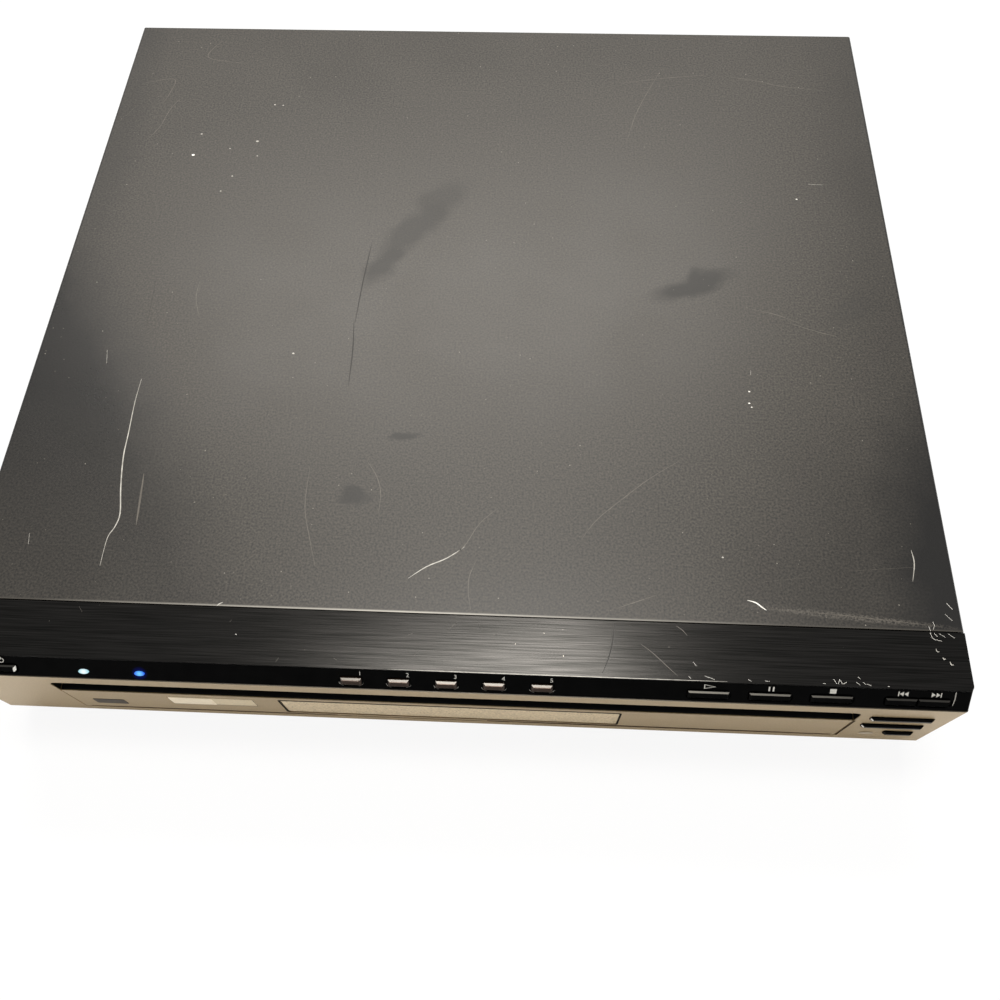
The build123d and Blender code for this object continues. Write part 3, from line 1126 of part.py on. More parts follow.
def transformer():
    left = CORE_PLACE[0] - BOARD_X[1]
    front = CORE_PLACE[1] + BOARD_Y[0]
    top = Z_BOARD_TOP + CORE_SIZE[2]
    core = block((left, left + CORE_SIZE[0]), (front, front + CORE_SIZE[1]), (Z_BOARD_TOP, top))
    wound = block((left - WINDING_PROUD, left + CORE_SIZE[0] + WINDING_PROUD),
                  (front + WINDING_INSET, front + CORE_SIZE[1] - WINDING_INSET),
                  (Z_BOARD_TOP + WINDING_GAP, top - WINDING_GAP))
    return core + fillet(wound.edges().filter_by(Axis.Y), WINDING_PROUD)


def phono_jacks():
    end = Y_BACK + JACK_REACH
    jacks = []
    for x, z in jack_places():
        jack = block((x - JACK_BODY, x + JACK_BODY), (Y_PANEL - JACK_BODY_LENGTH, Y_PANEL),
                     (z - JACK_BODY, z + JACK_BODY))
        jack += along_y(x, z, (Y_PANEL - CHASSIS_SHEET, end), JACK_NECK)
        jack += along_y(x, z, (Y_PANEL_OUT + JACK_STAND, end), JACK_RADIUS)
        jack -= along_y(x, z, (Y_PANEL_OUT, end + OVERCUT), JACK_HOLE)
        jacks.append(jack.solid())
    return Compound(jacks)


def optical_port():
    def square(half, y):
        return block((COAX_X - half, COAX_X + half), y, (OPTICAL_Z - half, OPTICAL_Z + half))

    half = OPTICAL_SIZE / 2
    port = square(half + OPTICAL_WALL, (Y_PANEL - OPTICAL_DEPTH, Y_PANEL))
    port += square(half, (Y_PANEL - OPTICAL_WALL, Y_BACK + OPTICAL_WALL))
    return port - square(half - SHUTTER_INSET, (Y_BACK, Y_BACK + OPTICAL_WALL + OVERCUT))


def ac_inlet():
    def oblong(room, y):
        half = INLET_WIDTH / 2 + room
        tall = INLET_TALL / 2 + room
        return block((INLET_X - half, INLET_X + half), y, (INLET_Z - tall, INLET_Z + tall))

    inlet = oblong(0, (Y_PANEL - INLET_DEPTH, Y_BACK + INLET_PROUD))
    inlet += oblong(INLET_COLLAR, (Y_PANEL - INLET_COLLAR, Y_PANEL))
    lobes = Pos(INLET_X, INLET_Z) * SlotCenterToCenter(2 * INLET_LOBE, 2 * INLET_LOBE)
    floor = Y_PANEL - INLET_DEPTH + INLET_BACK
    inlet -= towards_back(lobes, (floor, Y_BACK + INLET_PROUD + OVERCUT))
    for side in (-1, 1):
        pin_y = (floor - INLET_BACK / 2, Y_BACK - INLET_BACK)
        inlet += along_y(INLET_X + side * INLET_LOBE, INLET_Z, pin_y, INLET_PIN)
    return inlet


def front_ribbon():
    back = Y_FRONT - BOARD_FACE + BOARD_SHEET + RIBBON_SHEET
    lie = Z_BOARD_TOP + RIBBON_SHEET
    low = Z_PAN_TOP + RIBBON_SHEET
    over = Z_PAN_TOP + FLANGE_HEIGHT + RIBBON_BEND
    rise = over + 1.5 * RIBBON_STEP
    route = [(BOARD_Y[0] + RIBBON_LAND, lie), (BOARD_Y[0] - RIBBON_STEP, lie),
             (BOARD_Y[0] - 3 * RIBBON_STEP, low), (Y_SEAM + 3 * RIBBON_STEP, low),
             (Y_SEAM + RIBBON_STEP + CHASSIS_SHEET, over), (Y_SEAM - RIBBON_STEP, over),
             (back, rise), (back, rise + RIBBON_LAND)]
    tape = trace(FilletPolyline(*route, radius=RIBBON_BEND), RIBBON_SHEET)
    return side_section(tape, (FACE_KEY_X - RIBBON_WIDTH / 2, FACE_KEY_X + RIBBON_WIDTH / 2))


def sensor_lens():
    return lens(face_plane(SENSOR_X, SENSOR_Z), SENSOR_WIDTH, SENSOR_TALL)


PIECES = (
    chassis_pan, top_cover, rear_panel, feet, case_screws, front_bezel, top_trim_plate, key_band,
    sensor_lens, key_boards, key_switches, tray_door, door_recess_strip, display_window, display_module, tray, carousel,
    carousel_cap, table_motor, table_motor_pulley, table_belt, table_gear, mech_frame, loading_motor,
    loading_motor_pulley, loading_belt, loading_gear, clamper_bridge, clamper, base_frame, spindle_motor,
    turntable, pickup, guide_rods, sled_motor, sled_gear, lift_slider, main_board, power_board, transformer,
    phono_jacks, optical_port, ac_inlet, front_ribbon,
)

os.makedirs("parts", exist_ok=True)
solids = {make.__name__: make() for make in PIECES}
for name, (plane, width) in KEYS.items():
    solids[name] = key(plane, width)
for name, plane in zip(("indicator_lens_left", "indicator_lens_right"), lens_planes()):
    solids[name] = lens(plane, LENS_WIDTH, LENS_TALL)
for name, solid in solids.items():
    export_step(solid, f"parts/{name}.step")
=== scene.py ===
import bpy
import bmesh
import json
import math
from mathutils import Euler, Matrix, Vector


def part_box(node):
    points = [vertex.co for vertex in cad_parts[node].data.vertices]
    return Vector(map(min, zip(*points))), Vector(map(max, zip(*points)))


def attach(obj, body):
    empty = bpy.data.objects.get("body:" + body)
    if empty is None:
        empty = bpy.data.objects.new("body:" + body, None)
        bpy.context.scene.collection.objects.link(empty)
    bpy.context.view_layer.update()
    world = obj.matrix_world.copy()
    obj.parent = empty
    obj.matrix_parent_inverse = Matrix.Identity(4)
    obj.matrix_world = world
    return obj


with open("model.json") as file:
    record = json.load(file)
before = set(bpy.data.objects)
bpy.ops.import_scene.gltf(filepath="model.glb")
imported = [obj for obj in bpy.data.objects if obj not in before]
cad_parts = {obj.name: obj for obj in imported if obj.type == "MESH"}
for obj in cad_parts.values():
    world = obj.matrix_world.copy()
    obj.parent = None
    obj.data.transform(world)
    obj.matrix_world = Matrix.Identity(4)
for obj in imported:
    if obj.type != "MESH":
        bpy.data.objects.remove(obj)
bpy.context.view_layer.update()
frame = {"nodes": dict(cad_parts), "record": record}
nodes = frame["nodes"]
scene = bpy.context.scene
scene.view_settings.view_transform = "Standard"
mm = 0.001

coverLow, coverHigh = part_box("top_cover")
plateLow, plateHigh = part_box("top_trim_plate")
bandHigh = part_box("key_band")[1]
bezelLow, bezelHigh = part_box("front_bezel")
doorLow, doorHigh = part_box("tray_door")
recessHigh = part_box("door_recess_strip")[1]
windowLow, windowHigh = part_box("display_window")
carouselLow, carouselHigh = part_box("carousel")
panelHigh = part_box("rear_panel")[1]
seamY = plateHigh.y    # where the painted cover meets the brushed plate
topZ = coverHigh.z

# the sloping band: x across, y up the slope from its upper edge (so negative), z out of it
bandRun, bandRise = 6.4 * mm, 7.4 * mm
bandTopY = bezelLow.y + bandRun
bandUp = Vector((0, bandRun, bandRise)).normalized()
bandOut = Vector((0, -bandUp.z, bandUp.y))
bandPlane = Matrix.Translation((0, bandTopY, bandHigh.z)) @ Matrix((
    (1, 0, 0, 0), (0, bandUp.y, bandOut.y, 0), (0, bandUp.z, bandOut.z, 0), (0, 0, 0, 1)))
print("frame loaded")


# colours and nodes

def linear(code):
    def channel(value):
        return value / 12.92 if value <= 0.04045 else ((value + 0.055) / 1.055) ** 2.4
    return tuple(channel(int(code[i:i + 2], 16) / 255) for i in (1, 3, 5)) + (1.0,)


# a node by its kind, or its kind and operation, with its settings and links
def addNode(tree, kind, settings=None, links=None):
    kind, _, operation = kind.partition(" ")
    node = tree.nodes.new("ShaderNode" + kind)
    if operation:
        node.operation = operation
    for key, value in (settings or {}).items():
        if isinstance(key, str) and hasattr(node, key):
            setattr(node, key, value)
        else:
            node.inputs[key].default_value = value
    for key, source in (links or {}).items():
        output = source.outputs[0] if hasattr(source, "outputs") else source    # a node gives its first
        tree.links.new(output, node.inputs[key])
    return node


def newFinish(name, settings):
    material = bpy.data.materials.new(name)
    material.use_nodes = True
    tree = material.node_tree
    shader = tree.nodes["Principled BSDF"]
    for key, value in settings.items():
        shader.inputs[key].default_value = value
    coords = addNode(tree, "TexCoord").outputs["Object"]
    return material, tree, shader, coords


def perMm(size):
    return 1 / (size * mm)


# one tone drifting into another over a grain given in mm, with roughness and relief that follow it
def grained(name, look):
    material, tree, shader, coords = newFinish(name, look.get("shader", {}))
    stretched = addNode(tree, "Mapping", {"Scale": look.get("stretch", (1, 1, 1))}, {"Vector": coords})
    noise = addNode(tree, "TexNoise", {"Scale": perMm(look["grain"]), "Detail": 3}, {"Vector": stretched})
    ramp = addNode(tree, "MapRange", {"From Min": 0.3, "From Max": 0.7}, {"Value": noise})
    darker, lighter = (linear(code) for code in look["tones"])
    tone = addNode(tree, "Mix", {"data_type": "RGBA", 6: darker, 7: lighter}, {0: ramp})
    roughFrom, roughTo = look["rough"]
    rough = addNode(tree, "MapRange", {"To Min": roughFrom, "To Max": roughTo}, {"Value": noise})
    tree.links.new(tone.outputs[2], shader.inputs["Base Color"])
    tree.links.new(rough.outputs[0], shader.inputs["Roughness"])
    if look.get("relief"):
        bump = addNode(tree, "Bump", {"Distance": look["relief"] * mm, "Strength": 0.6}, {"Height": noise})
        tree.links.new(bump.outputs[0], shader.inputs["Normal"])
    return material, tree, coords, tone.outputs[2]


# masks run from 0 to 1: this one is 1 where both are
def both(a, b):
    return addNode(a.id_data, "Math MULTIPLY", {}, {0: a, 1: b})


# the stronger of two masks
def either(a, b):
    return addNode(a.id_data, "Math MAXIMUM", {}, {0: a, 1: b})


# 1 between the two bounds of a coordinate
def between(value, low, high):
    above = addNode(value.id_data, "Math GREATER_THAN", {1: low}, {0: value})
    below = addNode(value.id_data, "Math LESS_THAN", {1: high}, {0: value})
    return both(above, below)


# 1 where the face looks along the direction, 0 elsewhere
def facing(tree, direction, least):
    normal = addNode(tree, "TexCoord").outputs["Normal"]
    along = addNode(tree, "VectorMath DOT_PRODUCT", {1: Vector(direction).normalized()}, {0: normal})
    return addNode(tree, "Math GREATER_THAN", {1: least}, {0: along.outputs["Value"]})


# another colour where the mask is
def overlay(mask, tone, code):
    mixed = addNode(mask.id_data, "Mix", {"data_type": "RGBA", 7: linear(code)}, {0: mask, 6: tone})
    return mixed.outputs[2]


# pale specks in some of the cells of a net whose spacing is in mm
def addDust(coords, tone, look):
    tree = coords.id_data
    cells = addNode(tree, "TexVoronoi", {"Scale": perMm(look["spacing"])}, {"Vector": coords})
    speck = addNode(tree, "Math LESS_THAN", {1: look["reach"]}, {0: cells.outputs["Distance"]})
    chosen = addNode(tree, "SeparateColor", {}, {0: cells.outputs["Color"]})
    kept = addNode(tree, "Math GREATER_THAN", {1: look["kept"]}, {0: chosen})
    return overlay(both(speck, kept), tone, look["tone"])


finishes = {}


# a finish for a slot, with the last tone laid on it
def keepFinish(slotName, material, tone):
    tree = material.node_tree
    tree.links.new(tone, tree.nodes["Principled BSDF"].inputs["Base Color"])
    finishes[slotName] = material


# textured paint on sheet steel: dull warm grain, greasy smudges, a front edge both worn and painted with a
# highlight, and painted shade at the folded sides and for dark reflections of the room
coverPaint = {
    "tones": ("#1a1917", "#403c36"), "grain": 1.0, "rough": (0.33, 0.43), "relief": 0.04,
    "shader": {"Specular IOR Level": 0.246},
    "cloud": 45, "cloudTone": (0.86, 1.14), "cloudRough": (-0.02, 0.02),    # wide faint drifts
    "wander": 14, "wanderBy": 8,    # mm between the turns of the spots' edges, and how far they stray
    # spots: x, y behind the seam, half length, half width in mm, turn in degrees, strength
    "smudges": [
        (-21, 236, 15, 8, 44, 0.45), (-33, 217, 24, 8, 55, 0.6), (-47, 192, 14, 6, 62, 0.7),
        (111, 181, 19, 6, 26, 0.85), (-50, 54, 5, 4.2, 0, 0.75), (-28, 87, 6, 2, 10, 0.8),
        (187, 167, 12, 6, 30, 0.25),
    ],
    "smudgeSoft": 0.5, "smudgeTone": "#1a1917", "smudgeRough": 0.08,
    # painted shade for dark reflections of the room: on the left, easing off towards the front, and at the
    # right corner
    "shaded": [(-222, 67, 400, 80, -59.8, 0.93), (-226, 250, 30, 200, 0, 0.3)],
    "shadedSoft": 0.3, "easeTo": 110, "easeLeast": 0.35,    # it eases off over the front 110 mm
    "paintedShade": [(240, 15, 50, 95, 0, 1.0), (222, 10, 75, 75, 0, 0.36), (232, 180, 38, 330, 0, 0.22)],
    "paintedShadeTone": "#100f0e", "shadeSmoothing": -0.10,
    "scuffs": [(167, 5.4, 34, 1.3, -4.5, 0.7)],
    "scuffTone": "#55514b", "scuffGrain": 0.9, "scuffBreak": (0.42, 0.6),
    "dust": [{"spacing": 5, "reach": 0.055, "kept": 0.82, "tone": "#77736b"},
             {"spacing": 2.6, "reach": 0.09, "kept": 0.9, "tone": "#57534c"}],
    "foldShadeTone": "#080807", "bendFrom": 1.8, "bendTo": 0.6,    # mm in from the folded sides
    # the front edge: worn paint, with a painted highlight brightest at the middle
    "edgeTone": "#3c3934", "wearAndHighlightFrom": 0.45, "wearAndHighlightTo": 1.35,    # mm behind the seam
    "edgeHighlightTone": "#b5b1a8", "highlightMiddle": -20, "highlightReach": 160,
}


# the strongest of several soft oval spots on the top; soft is a share of their gradient
def spotMask(coords, spots, soft):
    tree = coords.id_data
    spread, depth = 1.5, 20    # the gradient's reach over a spot's half size, and its height in mm
    total = None
    for x, y, length, width, turn, strength in spots:
        spot = addNode(tree, "Mapping", {
            "vector_type": "TEXTURE", "Location": (x * mm, seamY + y * mm, topZ),
            "Rotation": (0, 0, math.radians(turn)),
            "Scale": (length * spread * mm, width * spread * mm, depth * mm),
        }, {"Vector": coords})
        fall = addNode(tree, "TexGradient", {"gradient_type": "SPHERICAL"}, {"Vector": spot})
        mark = addNode(tree, "MapRange", {"From Min": 0.5 - soft, "From Max": 0.5, "To Max": strength},
                       {"Value": fall.outputs[1]})
        total = mark if total is None else either(total, mark)
    return total


def makeCoverPaint(look):
    material, tree, coords, tone = grained("texturedCoverPaint", look)
    roughness = tree.nodes["Principled BSDF"].inputs["Roughness"]
    rough = roughness.links[0].from_socket
    place = addNode(tree, "SeparateXYZ", {}, {0: coords})
    cloud = addNode(tree, "TexNoise", {"Scale": perMm(look["cloud"]), "Detail": 3}, {"Vector": coords})
    darker, lighter = look["cloudTone"]
    drift = addNode(tree, "MapRange", {"To Min": darker, "To Max": lighter}, {"Value": cloud})
    tone = addNode(tree, "VectorMath SCALE", {}, {0: tone, "Scale": drift})
    wobble = addNode(tree, "TexNoise", {"Scale": perMm(look["wander"]), "Detail": 3}, {"Vector": coords})
    stray = look["wanderBy"] * mm
    shift = addNode(tree, "VectorMath MULTIPLY_ADD", {1: (2 * stray,) * 3, 2: (-stray,) * 3},
                    {0: wobble.outputs[1]})
    wandering = addNode(tree, "VectorMath ADD", {}, {0: coords, 1: shift})
    smudged = spotMask(wandering, look["smudges"], look["smudgeSoft"])
    eased = addNode(tree, "MapRange", {"From Min": seamY, "From Max": seamY + look["easeTo"] * mm,
                                       "To Min": look["easeLeast"], "To Max": 1}, {"Value": place.outputs[1]})
    # painted shade: dark reflections of the room on the left and at the right corner
    shaded = both(spotMask(wandering, look["shaded"], look["shadedSoft"]), eased)
    paintedShade = either(shaded, spotMask(wandering, look["paintedShade"], look["smudgeSoft"]))
    # scuffs break up into specks
    speckle = addNode(tree, "TexNoise", {"Scale": perMm(look["scuffGrain"]), "Detail": 2}, {"Vector": coords})
    breakFrom, breakTo = look["scuffBreak"]
    broken = addNode(tree, "MapRange", {"From Min": breakFrom, "From Max": breakTo}, {"Value": speckle})
    scuffed = both(spotMask(coords, look["scuffs"], look["smudgeSoft"]), broken)
    for mask, key in ((smudged, "smudgeTone"), (paintedShade, "paintedShadeTone"), (scuffed, "scuffTone")):
        tone = overlay(mask, tone, look[key])
    for dust in look["dust"]:
        tone = addDust(coords, tone, dust)
    # painted shade: the sides are darker where they fold away from the light
    aside = addNode(tree, "Math ABSOLUTE", {}, {0: place.outputs[0]})
    foldShade = addNode(tree, "MapRange", {"From Min": coverHigh.x - look["bendFrom"] * mm,
                                      "From Max": coverHigh.x - look["bendTo"] * mm}, {"Value": aside})
    tone = overlay(foldShade, tone, look["foldShadeTone"])
    # the front edge worn, with a painted highlight that is brightest at its middle
    edge = addNode(tree, "MapRange", {"From Min": seamY + look["wearAndHighlightFrom"] * mm,
                                      "From Max": seamY + look["wearAndHighlightTo"] * mm, "To Min": 1, "To Max": 0},
                   {"Value": place.outputs[1]})
    tone = overlay(edge, tone, look["edgeTone"])
    apart = addNode(tree, "Math SUBTRACT", {1: look["highlightMiddle"] * mm}, {0: place.outputs[0]})
    apart = addNode(tree, "Math ABSOLUTE", {}, {0: apart})
    edgeHighlight = addNode(tree, "MapRange", {"From Max": look["highlightReach"] * mm, "To Min": 1, "To Max": 0},
                   {"Value": apart})
    tone = overlay(both(edge, edgeHighlight), tone, look["edgeHighlightTone"])
    # grease spreads the light, the painted shade is smoother, and the paint itself lies in faint clouds
    clear, milky = look["cloudRough"]
    clouded = addNode(tree, "MapRange", {"From Min": 0.3, "From Max": 0.7, "To Min": clear, "To Max": milky},
                      {"Value": cloud})
    uneven = addNode(tree, "Math ADD", {}, {0: rough, 1: clouded})
    dulled = addNode(tree, "Math MULTIPLY_ADD", {1: look["smudgeRough"]}, {0: smudged, 2: uneven})
    smoothedShade = addNode(tree, "Math MULTIPLY_ADD", {1: look["shadeSmoothing"]}, {0: paintedShade, 2: dulled})
    tree.links.new(smoothedShade.outputs[0], roughness)
    keepFinish("cover_paint", material, tone)


makeCoverPaint(coverPaint)

# black anodised aluminium, hairlines along the width: a highlight drawn out front to back
# real hairlines of 0.05 mm are drawn 0.45 mm apart so that they can be seen at all
brushedPlate = {
    "tones": ("#131312", "#252423"), "grain": 0.45, "stretch": (0.015, 1, 1), "rough": (0.228, 0.197),
    "relief": 0.004, "shader": {"Metallic": 1.0, "Anisotropic": 0.1},
    "dust": {"spacing": 4, "reach": 0.05, "kept": 0.85, "tone": "#5d5a54"},
}
material, tree, coords, tone = grained("hairlineAnodisedAluminium", brushedPlate)
across = addNode(tree, "Tangent", {"direction_type": "RADIAL", "axis": "X"})
tree.links.new(across.outputs[0], tree.nodes["Principled BSDF"].inputs["Tangent"])
keepFinish("brushed_black", material, addDust(coords, tone, brushedPlate["dust"]))

# champagne metallic paint on the front: fine flake that glints, satin clear over it
# the walls of the drawer's mouth are near black, and the ledge under the band is painted shade
champagnePaint = {
    "tones": ("#978361", "#ac9774"), "grain": 0.7, "rough": (0.34, 0.46), "relief": 0.006,
    "shader": {"Metallic": 0.35, "Specular IOR Level": 0.3},
    "mouthTone": "#0b0b0a", "lip": 0.4, "mouthEnd": 4.5, "mouthAbove": 1.0, "ledgeShadeTone": "#3f392f",
    "skin": 0.05,    # mm that a mask reaches past the face it ends on
}
look = champagnePaint
material, tree, coords, tone = grained("champagneMetallicPaint", look)
place = addNode(tree, "SeparateXYZ", {}, {0: coords})
mouthEnd = look["mouthEnd"] * mm
skin = look["skin"] * mm
mouth = both(between(place.outputs[0], doorLow.x - mouthEnd, doorHigh.x + mouthEnd),
             between(place.outputs[2], doorHigh.z - skin,
                     recessHigh.z + look["mouthAbove"] * mm))
mouth = both(mouth, between(place.outputs[1], bezelLow.y + look["lip"] * mm, coverHigh.y))
# painted shade on the ledge under the band
ledgeShade = between(place.outputs[2], bezelHigh.z - skin, coverHigh.z)
tone = overlay(mouth, tone, look["mouthTone"])
tone = overlay(ledgeShade, tone, look["ledgeShadeTone"])
keepFinish("champagne", material, tone)

# half-silvered window over the display: sparkling mottle of the same champagne
windowCoat = {
    "tones": ("#c3ad87", "#ecd8b3"), "grain": 0.9, "rough": (0.22, 0.4), "relief": 0.01,
    "shader": {"Metallic": 0.35},
}
finishes["window"] = grained("halfSilveredAcrylic", windowCoat)[0]

# every other finish is a grain of two close tones: its name, the tones, grain in mm, roughness,
# relief in mm, the shader's settings and the stretch of the grain
plainFinishes = {
    # large pale spangles
    "zinc_steel": ("galvanisedSheet", ("#8e9294", "#a9adae"), 9, (0.3, 0.5), 0, {"Metallic": 0.9}),
    # satin black on the back panel, dull moulded feet, dark screws with a soft shine
    "panel_paint": ("satinPanelPaint", ("#1b1b1b", "#242423"), 1.2, (0.45, 0.6), 0.02),
    "foot_plastic": ("mouldedFootPlastic", ("#161616", "#1e1e1d"), 0.8, (0.6, 0.75), 0.03),
    "screw_steel": ("blackOxideSteel", ("#2b2b2c", "#3a3a3b"), 0.8, (0.28, 0.4), 0, {"Metallic": 0.8}),
    # pale lens and dark display with a clear shine, flat black behind the drawer
    "sensor": ("smokedSensorLens", ("#b5a68c", "#c6b89e"), 1.5, (0.15, 0.25)),
    "display": ("displayGlass", ("#0c1410", "#121c17"), 4, (0.08, 0.14)),
    "recess_black": ("flatBlackMoulding", ("#040404", "#080808"), 1.0, (0.5, 0.65), 0,
                     {"Specular IOR Level": 0.1}),
    # fine spark-eroded texture on the tray, a little smoother on the carousel
    "tray_black": ("sparkErodedPlastic", ("#1a1a1b", "#232324"), 0.9, (0.5, 0.65), 0.03),
    "carousel_black": ("carouselPlastic", ("#1d1d1e", "#27272a"), 0.8, (0.42, 0.56), 0.03),
    # grey mottled by its fibres, waxy white gears, plain dark switches
    "mech_plastic": ("glassFilledPlastic", ("#3a3b3d", "#47484a"), 1.4, (0.5, 0.62), 0.02),
    "gear_plastic": ("acetalGear", ("#dcd8cb", "#e8e5da"), 2, (0.35, 0.45)),
    "switch_black": ("switchNylon", ("#151515", "#20201f"), 0.9, (0.5, 0.6)),
    # dull black rubber of the belts and of the disc's seat
    "belt_rubber": ("beltRubber", ("#121212", "#1b1b1b"), 0.7, (0.75, 0.9), 0.02),
    "turntable_black": ("turntableRubber", ("#131314", "#1c1c1d"), 0.8, (0.55, 0.7), 0.02),
    # bright cans streaked along their height, iron plates along their stack, warm bright sockets
    "motor_steel": ("drawnSteelCan", ("#9a9a98", "#b2b2af"), 1.0, (0.25, 0.4), 0, {"Metallic": 1.0},
                    (1, 1, 0.1)),
    "transformer_iron": ("varnishedLamination", ("#4a4641", "#5b564f"), 0.8, (0.35, 0.5), 0.02,
                         {"Metallic": 0.6}, (0.05, 0.05, 1)),
    "jack_metal": ("nickelPlatedBrass", ("#b3b0a6", "#c6c3b9"), 1.2, (0.2, 0.32), 0, {"Metallic": 1.0}),
    # thin pieces: matt ink, bare metal in scratches and chips with a painted highlight along an edge, paint
    # rubbed pale, grease in a groove and painted shade in the screws' crosses
    "whiteInk": ("whitePadPrint", ("#b9b7b0", "#cfcdc6"), 0.5, (0.5, 0.6)),
    "paleWearAndHighlight": ("bareScratch", ("#7f7c75", "#b5b2aa"), 2.5, (0.4, 0.55)),
    "brightWear": ("bareMetalChip", ("#c9c6be", "#f0eee8"), 1.5, (0.35, 0.5)),
    "faintWear": ("rubbedPaint", ("#45413b", "#5b564f"), 3, (0.35, 0.44), 0, {"Specular IOR Level": 0.26}),
    "darkWearAndShade": ("greasyScratch", ("#181715", "#211f1d"), 3, (0.42, 0.52), 0, {"Specular IOR Level": 0.2}),
    # stamped satin foil, paler or darker than the paint
    "paleFoil": ("paleFoilPlate", ("#f2e3c6", "#fdf0d6"), 0.8, (0.3, 0.4), 0, {"Metallic": 0.3}),
    "wideFoil": ("champagneFoilPlate", ("#d3c19d", "#e2d1ae"), 0.8, (0.3, 0.4), 0, {"Metallic": 0.3}),
    "darkFoil": ("darkFoilPlate", ("#2c241a", "#3a3023"), 0.8, (0.35, 0.45), 0,
                 {"Specular IOR Level": 0.15}),
    # painted shadow of a gap, and the paint's own colour in painted shade
    "gapDark": ("darkGapShadow", ("#1a1612", "#241f19"), 1.5, (0.7, 0.8), 0, {"Specular IOR Level": 0.05}),
    "gapShade": ("shadedPaintEdge", ("#2e2114", "#3b2c1c"), 1.5, (0.7, 0.8), 0,
                 {"Specular IOR Level": 0.05}),
}
plainKeys = ("name", "tones", "grain", "rough", "relief", "shader", "stretch")
for key, row in plainFinishes.items():
    look = dict(zip(plainKeys, row))
    finishes[key] = grained(look["name"], look)[0]

# moulded black inlet and optical port, with nickel on the inlet's pins
socketBlack = {
    "tones": ("#101010", "#191919"), "grain": 0.8, "rough": (0.4, 0.52),
    "pin": "#b4b1a8", "pinPlace": 4.2, "pinHalf": 1.4, "pinFrom": 4.0, "pinShort": 2.0,    # mm
}
look = socketBlack
material, tree, coords, tone = grained("mouldedSocketNylon", look)
place = addNode(tree, "SeparateXYZ", {}, {0: coords})
inletLow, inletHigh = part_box("ac_inlet")
inlet = (inletLow + inletHigh) / 2
pinHalf = look["pinHalf"] * mm
pinRow = both(between(place.outputs[2], inlet.z - pinHalf, inlet.z + pinHalf),
              between(place.outputs[1], inletLow.y + look["pinFrom"] * mm,
                      inletHigh.y - look["pinShort"] * mm))
for side in (-1, 1):
    pinX = inlet.x + side * look["pinPlace"] * mm
    pin = both(pinRow, between(place.outputs[0], pinX - pinHalf, pinX + pinHalf))
    tone = overlay(pin, tone, look["pin"])
keepFinish("socket_black", material, tone)


# the upper bevels of the keys, where a highlight is painted, from the given mm behind the band's upper edge
def upperBevel(place, look):
    return both(facing(place.id_data, (0, 0, 1), look["bevelFacing"]),
                between(place.outputs[1], bandTopY + look["bevelFrom"] * mm, seamY))


# polished black acrylic band and keys, with painted highlights: lighter upper bevels where they catch the
# ceiling, glints on the end bevels, a light arc in the disc keys' dishes, and the blue lens's glow painted on
# the band
glossBlack = {
    "tones": ("#030303", "#060606"), "grain": 6, "rough": (0.08, 0.14),
    "shader": {"Specular IOR Level": 0.02},
    "bevelHighlight": "#827f78", "dimBevelHighlight": "#2f2e2c", "bevelFrom": -3.8, "bevelFacing": 0.98,
    "bevelFade": (100, 185),    # the bright bevels dim over this stretch of x, mm
    "glint": "#f2f1ec", "glintFacing": 0.985,
    "glintAbove": -3.3, "powerGlint": -5.0,     # mm from the band's upper edge
    "glintDot": 0.7,        # half height on the keys of the face, mm
    "arcHighlight": "#b5b3ad", "arcWay": (0.6, 0.52, 0.6), "arcFacing": 0.85, "arcBeyond": 3,
    "blueGlow": "#0a1878", "glowFrom": 1.5, "glowTo": 3.6, "glowShare": 0.55,    # round the blue lens, mm
}
look = glossBlack
material, tree, coords, tone = grained("polishedBlackAcrylic", look)
place = addNode(tree, "SeparateXYZ", {}, {0: coords})
right = between(place.outputs[0], 0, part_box("next_key")[0].x)
left = between(place.outputs[0], coverLow.x, 0)
upper = between(place.outputs[2], bandHigh.z + look["glintAbove"] * mm, coverHigh.z)
powerEnd = between(place.outputs[2], bandHigh.z + look["powerGlint"] * mm, coverHigh.z)
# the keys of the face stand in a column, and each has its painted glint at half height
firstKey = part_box("open_close_key")
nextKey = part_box("disc_skip_key")
firstZ, nextZ = ((low.z + high.z) / 2 for low, high in (firstKey, nextKey))
rise = addNode(tree, "Math SUBTRACT", {1: firstZ}, {0: place.outputs[2]})
offMiddle = addNode(tree, "Math PINGPONG", {1: (firstZ - nextZ) / 2}, {0: rise})
dot = addNode(tree, "Math LESS_THAN", {1: look["glintDot"] * mm}, {0: offMiddle})
bevelHighlight = upperBevel(place, look)
fadeFrom, fadeTo = look["bevelFade"]
fading = addNode(tree, "MapRange", {"From Min": fadeFrom * mm, "From Max": fadeTo * mm,
                                    "To Min": 1, "To Max": 0}, {"Value": place.outputs[0]})
# painted highlight on the upper bevels: dim everywhere, bright on the right, fading out towards the skip keys
tone = overlay(bevelHighlight, tone, look["dimBevelHighlight"])
bright = both(right, fading)
tone = overlay(both(bevelHighlight, bright), tone, look["bevelHighlight"])
# painted glints on the end bevels: at the left ends of the keys on the right, and at the power key's right
# end
for side, sideways, end in ((right, -1, upper), (left, 1, powerEnd)):
    for direction, part in (((sideways, bandOut.y, bandOut.z), end), ((sideways, -1, 0), dot)):
        glint = both(both(side, part), facing(tree, direction, look["glintFacing"]))
        tone = overlay(glint, tone, look["glint"])
# painted highlight: a thin light arc at each lower end of the disc keys' dishes
beyond = look["arcBeyond"] * mm
discKeys = between(place.outputs[0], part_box("disc_key_1")[0].x - beyond,
                   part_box("disc_key_5")[1].x + beyond)
arcX, arcY, arcZ = look["arcWay"]
for sideways in (-1, 1):
    arcHighlight = both(discKeys, facing(tree, (sideways * arcX, arcY, arcZ), look["arcFacing"]))
    tone = overlay(arcHighlight, tone, look["arcHighlight"])
